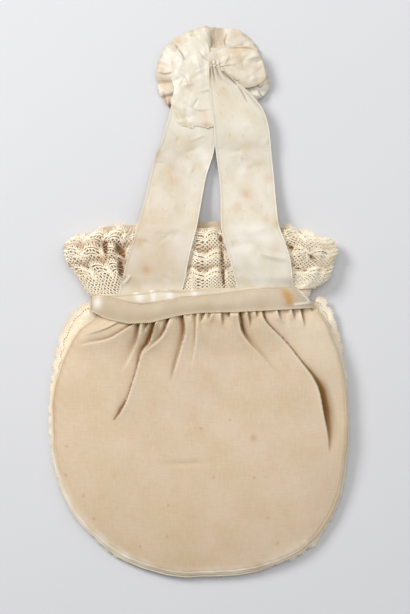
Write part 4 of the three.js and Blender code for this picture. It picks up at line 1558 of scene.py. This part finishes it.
def strap(name, node, table, creases, lines, pleat_height):
    """One handle ribbon with its sags, creases and selvedges."""
    x, y, z, share = ribbon_through(table, columns=75, rows=281)
    width = x[:, -1:] - x[:, :1]
    z += SAG * np.sin(y / 7.5 + 1.5 * share) * np.sin(math.pi * share) * smooth(y, 12, 30)
    z += creased(x, y, creases)
    foot = waist_height(x, RIBBON_LIFT) - TUCK
    z += (np.minimum(foot, z) - z) * (1 - smooth(y, 6, 14))
    tight = smooth(y, 127, 138)
    pleats = np.cos(2 * math.pi * (STRAP_PLEATS * share + 0.1 + 0.3 * np.sin(5 * share)))
    z += pleat_height * tight * pleats
    edge = np.minimum(share, 1 - share) * width
    z += SELVEDGE_HIGH * np.exp(-(edge / SELVEDGE) ** 2)
    dark = crease_lines(x, y, lines)
    z -= LINE_DEEP * dark
    grid = np.stack([x, y, z], axis=2)
    # Painted shade: the valleys of the pleats, the middle of the strap, and a line beside the
    # selvedges.
    dark = np.maximum(dark, pleat_height * 0.8 * tight * smooth(-pleats, 0.5, 1.0))
    painted_dimming = (0.04 + 0.05 * smooth(-x, 0, 14)) * smooth(y, 10, 24) * (1 - smooth(y, 84, 96))
    shade_beside_selvedge = 0.14 * np.exp(-((edge - 1.2) / 0.4) ** 2)
    # Painted highlights along the selvedges and at the places of STRAP_SHINE.
    shine = 0.4 * smooth(-edge, -0.8, -0.4) + SHINE_SHARE * blots(x, y, STRAP_SHINE)
    marks = dict(stain=STAIN_SHARE * blots(x, y, STRAP_STAINS), selvedge=np.clip(shine, 0, 1),
                 fold=np.maximum(dark, shade_beside_selvedge + painted_dimming))
    made = cloth(name, grid, SATIN_THICKNESS, satin, marks, coarse=2)
    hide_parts(node)


print("strap tucked", TUCK, "mm under the drawstring")

# %% [markdown]
# ## Both straps
# The large creases of each strap are rows with a start, an end, a width and a height, and small
# crumples are added at chance places. Brown lines of painted shade follow the folds at the top of
# the right strap. A simulated ribbon would find creases of its own, and not these.

# %% Both straps
LEFT_CREASES = [
    ((-42, 46), (-4, 43), 3.0, 0.8), ((-46, 8), (-41, 15), 1.0, 0.9),
    ((-47, 10), (-43, 14), 0.9, -0.8), ((-36, 70), (-5, 62), 4.0, 0.6),
    ((-12, 84), (2, 68), 3.0, 0.8), ((-30, 86), (-8, 74), 3.0, -0.6),
] + crumples(40, (-36, 10), (-4, 100), 0.35)
RIGHT_CREASES = [
    ((34, 28), (53, 24), 1.6, 1.0), ((18, 42), (46, 44), 3.0, 0.8), ((14, 30), (34, 35), 2.5, -0.6),
    ((16, 88), (40, 84), 4.0, 0.6), ((22, 34), (40, 12), 4.0, 0.7),
] + crumples(40, (16, 10), (42, 110), 0.35)
# Path, width and darkness.
RIGHT_LINES = [
    ([(22.6, 128.6), (25.6, 124.0), (28.4, 118.5)], 0.4, 0.6),
    ([(13.2, 137.1), (18.6, 132.6), (22.2, 129.0)], 0.7, 0.8),
    ([(26.0, 126.0), (32.0, 119.5), (38.5, 111.5)], 0.4, 0.4),
]
strap("purse_strap_left", "strap_left", STRAP_LEFT, LEFT_CREASES, [], 0.0)
strap("purse_strap_right", "strap_right", STRAP_RIGHT, RIGHT_CREASES, RIGHT_LINES, 0.8)

# %% [markdown]
# ## Lobes of the rosette
# The handle ends in a rosette, a length of the same ribbon gathered along one edge into a round
# ruffle. Tables give its uneven outline, and the angles of its lobes and pleats with their
# heights. At the top it opens in a hollow beside a raised lobe. A wave repeated round the
# circle would be shorter to write, but it would look like a paper cake case.

# %% Lobes of the rosette
rosette_low, rosette_high = node_box("rosette")
ROSETTE_X, ROSETTE_Y = (rosette_low[:2] + rosette_high[:2]) / 2
# Angle and distance from the middle.
ROSETTE_EDGE = [
    (-30, 27), (-18, 31), (-5, 35), (8, 31.6), (25, 31.8), (43, 33.6), (62, 34.8), (70, 34.2),
    (78, 32.6), (97, 33.6), (111, 33.4), (130, 34.5), (140, 35.6), (156, 34.8), (168, 34.4),
    (183, 33.6), (194, 32.8), (204, 31.4), (214, 30), (230, 27), (310, 24), (330, 27),
]
# Angle, half width in degrees, height, and the share of the radius where it starts.
LOBES = [
    (84, 8, -3.4, 0.45), (63, 10, 1.4, 0.5), (104, 5, 0.6, 0.4), (113, 3, -0.6, 0.4),
    (124, 5, 0.6, 0.4), (139, 3.5, -1.4, 0.5), (160, 14, 0.6, 0.5), (182, 3, -0.7, 0.5),
    (192, 4, 0.4, 0.5), (199, 2.5, -2.0, 0.4), (205, 2.5, 0.6, 0.4), (211, 2.5, -2.2, 0.4),
    (40, 4, -0.6, 0.5), (10, 4, 0.8, 0.5), (-4, 8, 3.2, 0.6), (-20, 6, 3.0, 0.6),
]
# Path, width and darkness.
ROSETTE_LINES = [
    ([(-15.0, 154.0), (-12.5, 150.0), (-9.6, 146.0)], 0.5, 0.7),
    ([(-25.5, 137.0), (-20.5, 136.2), (-15.0, 137.5)], 0.5, 0.7),
    ([(-18.6, 122.4), (-18.4, 118.5), (-17.7, 114.6)], 0.6, 0.7),
    ([(-22.4, 126.0), (-20.6, 120.0), (-20.2, 116.0)], 0.6, 0.6),
    ([(6.6, 160.0), (7.4, 155.5), (6.4, 151.4)], 0.5, 0.7),
    ([(16.0, 160.5), (14.6, 156.0), (15.4, 151.6)], 0.5, 0.7),
    ([(33.0, 131.0), (36.0, 128.0), (38.5, 130.0)], 0.5, 0.6),
    ([(35.0, 126.5), (37.6, 122.6), (40.6, 124.0)], 0.5, 0.7),
    ([(-6.0, 160.5), (-2.0, 156.0), (2.0, 153.0)], 0.4, 0.5),
]
# x, y, size and strength. OPENING is painted shade in the hollow at the top, and ROSETTE_SHINE
# is painted light on lobes in shade.
OPENING = [(10.0, 156.0, 4.8, 1)]
ROSETTE_STAINS = [
    (22, 160, 4, 0.4), (-23, 140, 4, 0.3), (-20, 118, 5, 0.45), (-20.5, 130, 4.5, 0.5),
    (-13, 156, 4, 0.4), (31, 150, 3, 0.5),
]
ROSETTE_SHINE = [
    (37, 127, 6, 0.9), (33, 133, 4, 0.6), (-14, 142, 6, 0.5), (24, 158, 3, 0.5),
]
print("rosette at", round(ROSETTE_X, 1), round(ROSETTE_Y, 1), "lobes", len(LOBES))

# %% [markdown]
# ## Rosette
# A polar grid makes the ruffle: its rows run from the free edge to the middle, and its columns
# go round. A lobe lifts the cloth and a pleat lowers it, more towards the edge, and deep pleats
# are painted darker as shade. Many small creases over it catch the light as crumpled satin does.
# A flat ribbon gathered by simulation would give a rosette too, but another one.

# %% Rosette
ROSETTE_RADIUS = 33
ROSETTE_EDGE_Z, ROSETTE_RISE = 2.4, 2.6
CORE = 0.3
LOWEST = 0.6


turn = np.linspace(-30, 330, 481)[None, :]
angle = np.radians(turn)
share = np.linspace(1, 0, 81)[:, None]
outer = np.interp(turn, *zip(*ROSETTE_EDGE))
outer = outer + 0.2 * np.sin(angle * 23) + 0.25 * np.sin(angle * 41 + 1)
radius = CORE + (outer - CORE) * share
x = ROSETTE_X + radius * np.cos(angle)
y = ROSETTE_Y + radius * np.sin(angle)
ruffle = 0.6 * np.sin(angle * 11) + 0.4 * np.sin(angle * 19 + 1)
z = ROSETTE_EDGE_Z + ROSETTE_RISE * (1 - share ** 4) + ruffle * share ** 4
# dark is painted shade in the deep pleats.
dark = np.zeros(z.shape)
for middle, wide, height, inner in LOBES:
    away = (turn - middle + 180) % 360 - 180
    shape = np.exp(-np.abs(away / wide) ** 3) * smooth(share, inner, inner + 0.3)
    z = z + height * shape * (1 - 0.4 * share ** 6)
    dark = np.maximum(dark, np.clip(-height / 4.0, 0, 1) * shape ** 2)
lines = crease_lines(x, y, ROSETTE_LINES)
z = z + creased(x, y, crumples(220, (-28, 98), (44, 164), 0.6)) - 0.6 * lines
rosette_grid = np.stack([x, y, np.maximum(z, LOWEST)], axis=2)
rim_gold = 0.6 * np.exp(-(1 - share) * ROSETTE_RADIUS) * (0.5 + 0.5 * np.sin(angle * 7 + 1))
stain = np.maximum(STAIN_SHARE * blots(x, y, ROSETTE_STAINS), rim_gold)
dark = np.maximum(np.maximum(0.5 * dark, lines), 0.4 * blots(x, y, OPENING))
marks = dict(stain=stain, fold=dark, selvedge=SHINE_SHARE * blots(x, y, ROSETTE_SHINE))
rosette = cloth("purse_rosette", rosette_grid, SATIN_THICKNESS, satin, marks, coarse=2)
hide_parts("rosette")

# %% [markdown]
# ## Ribbon tail
# One ribbon end lies over the left strap. Its cut edge is frayed, so each column of the grid
# ends at a chance place. Its left edge rolls down to the rosette, and creases cross it. It is
# made like a strap, with its own rows, because it is the same ribbon.

# %% Ribbon tail
TAIL_COLUMNS, TAIL_WIDTH = 81, 25
TAIL_CUT, FRAYED_TO = 104, 107
TAIL_THICKNESS = 0.4
# y, left edge, right edge and z.
TAIL = [
    (104.0, -13.5, 8.0, 8.3), (112.0, -15.8, 8.4, 8.2), (124.0, -16.8, 8.6, 8.2),
    (138.0, -17.0, 8.4, 8.2), (147.0, -16.0, 6.4, 7.2), (153.0, -14.4, 5.0, 5.9),
    (159.0, -12.0, 2.0, 3.6),
]
TAIL_CREASES = [
    ((-15, 153), (-9, 144), 1.0, 1.0), ((-3, 152), (2, 128), 2.0, 0.8),
    ((-12, 140), (-6, 118), 2.2, -0.7),
]
# Path, width and darkness.
TAIL_LINES = [
    ([(-14.0, 152.5), (-11.0, 148.0), (-9.0, 144.0)], 0.45, 0.6),
    ([(-13.2, 137.0), (-8.5, 133.0), (-7.0, 128.0)], 0.4, 0.35),
    ([(-1.0, 150.0), (2.0, 146.0), (5.5, 144.0)], 0.4, 0.4),
    ([(-6.0, 116.0), (0.0, 113.5), (6.0, 114.5)], 0.4, 0.3),
]
# x, y, size and strength.
TAIL_STAINS = [
    (-6, 127, 4, 0.25), (2, 110, 5, 0.3), (-8, 105.5, 3, 0.3), (4, 105, 2.5, 0.5),
]

x, y, z, share = ribbon_through(TAIL, TAIL_COLUMNS, rows=161)
x -= (1 - share) * (0.9 * np.sin(y / 4.3) + 0.5 * np.sin(y / 2.1 + 1)) * smooth(y, TAIL_CUT, 112)
fray = random.uniform(-0.7, 0.7, TAIL_COLUMNS) + 0.6 * np.sin(np.arange(TAIL_COLUMNS) / 6.0)
y += fray * (1 - smooth(y, TAIL_CUT, FRAYED_TO))
z -= (1.0 + 2.2 * smooth(y, 124, 134)) * np.exp(-share * TAIL_WIDTH / 3.5)
z -= 0.45 * (1 - smooth(y, TAIL_CUT, FRAYED_TO))
lines = crease_lines(x, y, TAIL_LINES)
z += creased(x, y, TAIL_CREASES + crumples(110, (-20, 102), (6, 154), 0.42)) - LINE_DEEP * lines
tail_grid = np.stack([x, y, z], axis=2)
marks = dict(stain=STAIN_SHARE * blots(x, y, TAIL_STAINS), fold=lines)
tail = cloth("purse_ribbon_tail", tail_grid, TAIL_THICKNESS, satin, marks, coarse=2)
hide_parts("ribbon_tail")

# %% [markdown]
# ## Fan above the stitches
# The right strap is drawn together by a row of stitches at the rosette's middle, and its end
# fans out above them in creases. The fan is a ruled surface: straight lines join the stitched
# row to the free edge of the ribbon. Small pleats start at the stitches and soon open. A second
# polar grid could make it too, but its two edges are easier to place by points.

# %% Fan above the stitches
FAN_COLUMNS, FAN_WIDTH = 161, 25
FAN_TOP, FAN_FALL = 10.4, 2.8
FAN_PLEATS, PLEATS_FADE = 6.5, 6
STITCH_LINE = [(5.4, 140.4), (9.6, 139.6), (14.0, 138.0)]
FAN_EDGE = [(6.4, 151.5), (16.5, 151.6), (24.0, 152.6), (31.8, 151.5), (36.3, 146.4), (38.7, 139.8),
            (39.2, 133.0), (33.0, 128.6), (25.0, 127.5)]
# Path, width and darkness.
FAN_LINES = [
    ([(16.8, 151.2), (27.0, 151.6), (32.4, 150.4)], 0.5, 0.7),
    ([(14.0, 137.6), (18.6, 133.0), (23.0, 129.0)], 0.7, 0.9),
    ([(20.0, 133.4), (21.6, 131.8), (24.0, 132.0)], 0.5, 0.6),
    ([(18.0, 147.0), (16.6, 143.6), (15.0, 141.0)], 0.5, 0.6),
    ([(9.0, 144.5), (9.6, 141.5), (10.0, 139.0)], 0.4, 0.8),
    ([(11.6, 144.0), (12.0, 141.0), (12.2, 138.6)], 0.4, 0.7),
    ([(7.0, 143.0), (7.4, 141.0), (7.6, 139.6)], 0.4, 0.8),
]
# x, y, size and strength.
FAN_STAINS = [
    (22, 146, 4, 0.3), (36, 138, 4, 0.25), (27, 151, 2, 0.5), (25, 142, 14, 0.18),
]

along = np.linspace(0, 1, FAN_COLUMNS)
start = np.stack([along_list(along, [p[k] for p in STITCH_LINE]) for k in (0, 1)], axis=1)
free = curve_through(FAN_EDGE, FAN_COLUMNS)
share = np.linspace(1, 0, 81)[:, None]
flat = start[None] + (free - start)[None] * share[..., None]
x, y = flat[..., 0], flat[..., 1]
pleats = np.cos(2 * math.pi * (FAN_PLEATS * along + 0.2 * np.sin(9 * along)))[None, :]
drawn_in = np.exp(-share * PLEATS_FADE)
z = FAN_TOP - FAN_FALL * share ** 1.7 + 0.6 * pleats * drawn_in - 0.8 * drawn_in
z = z + 0.5 * np.cos(2 * math.pi * (2.2 * along + 0.1))[None, :] * share
lines = crease_lines(x, y, FAN_LINES)
z = z + creased(x, y, crumples(110, (4, 126), (36, 152), 0.6)) - LINE_DEEP * lines
fan_grid = np.stack([x, y, z], axis=2)
edge_gold = 0.5 * np.exp(-(1 - share) * FAN_WIDTH / 0.8)
# Painted shade in the pleats near the stitches and along the crease lines.
marks = dict(stain=np.maximum(STAIN_SHARE * blots(x, y, FAN_STAINS), edge_gold),
             fold=np.maximum(lines, 0.6 * smooth(-pleats, 0.6, 1.0) * np.exp(-share * 8)))
fan = cloth("purse_strap_fan", fan_grid, SATIN_THICKNESS, satin, marks, coarse=2)
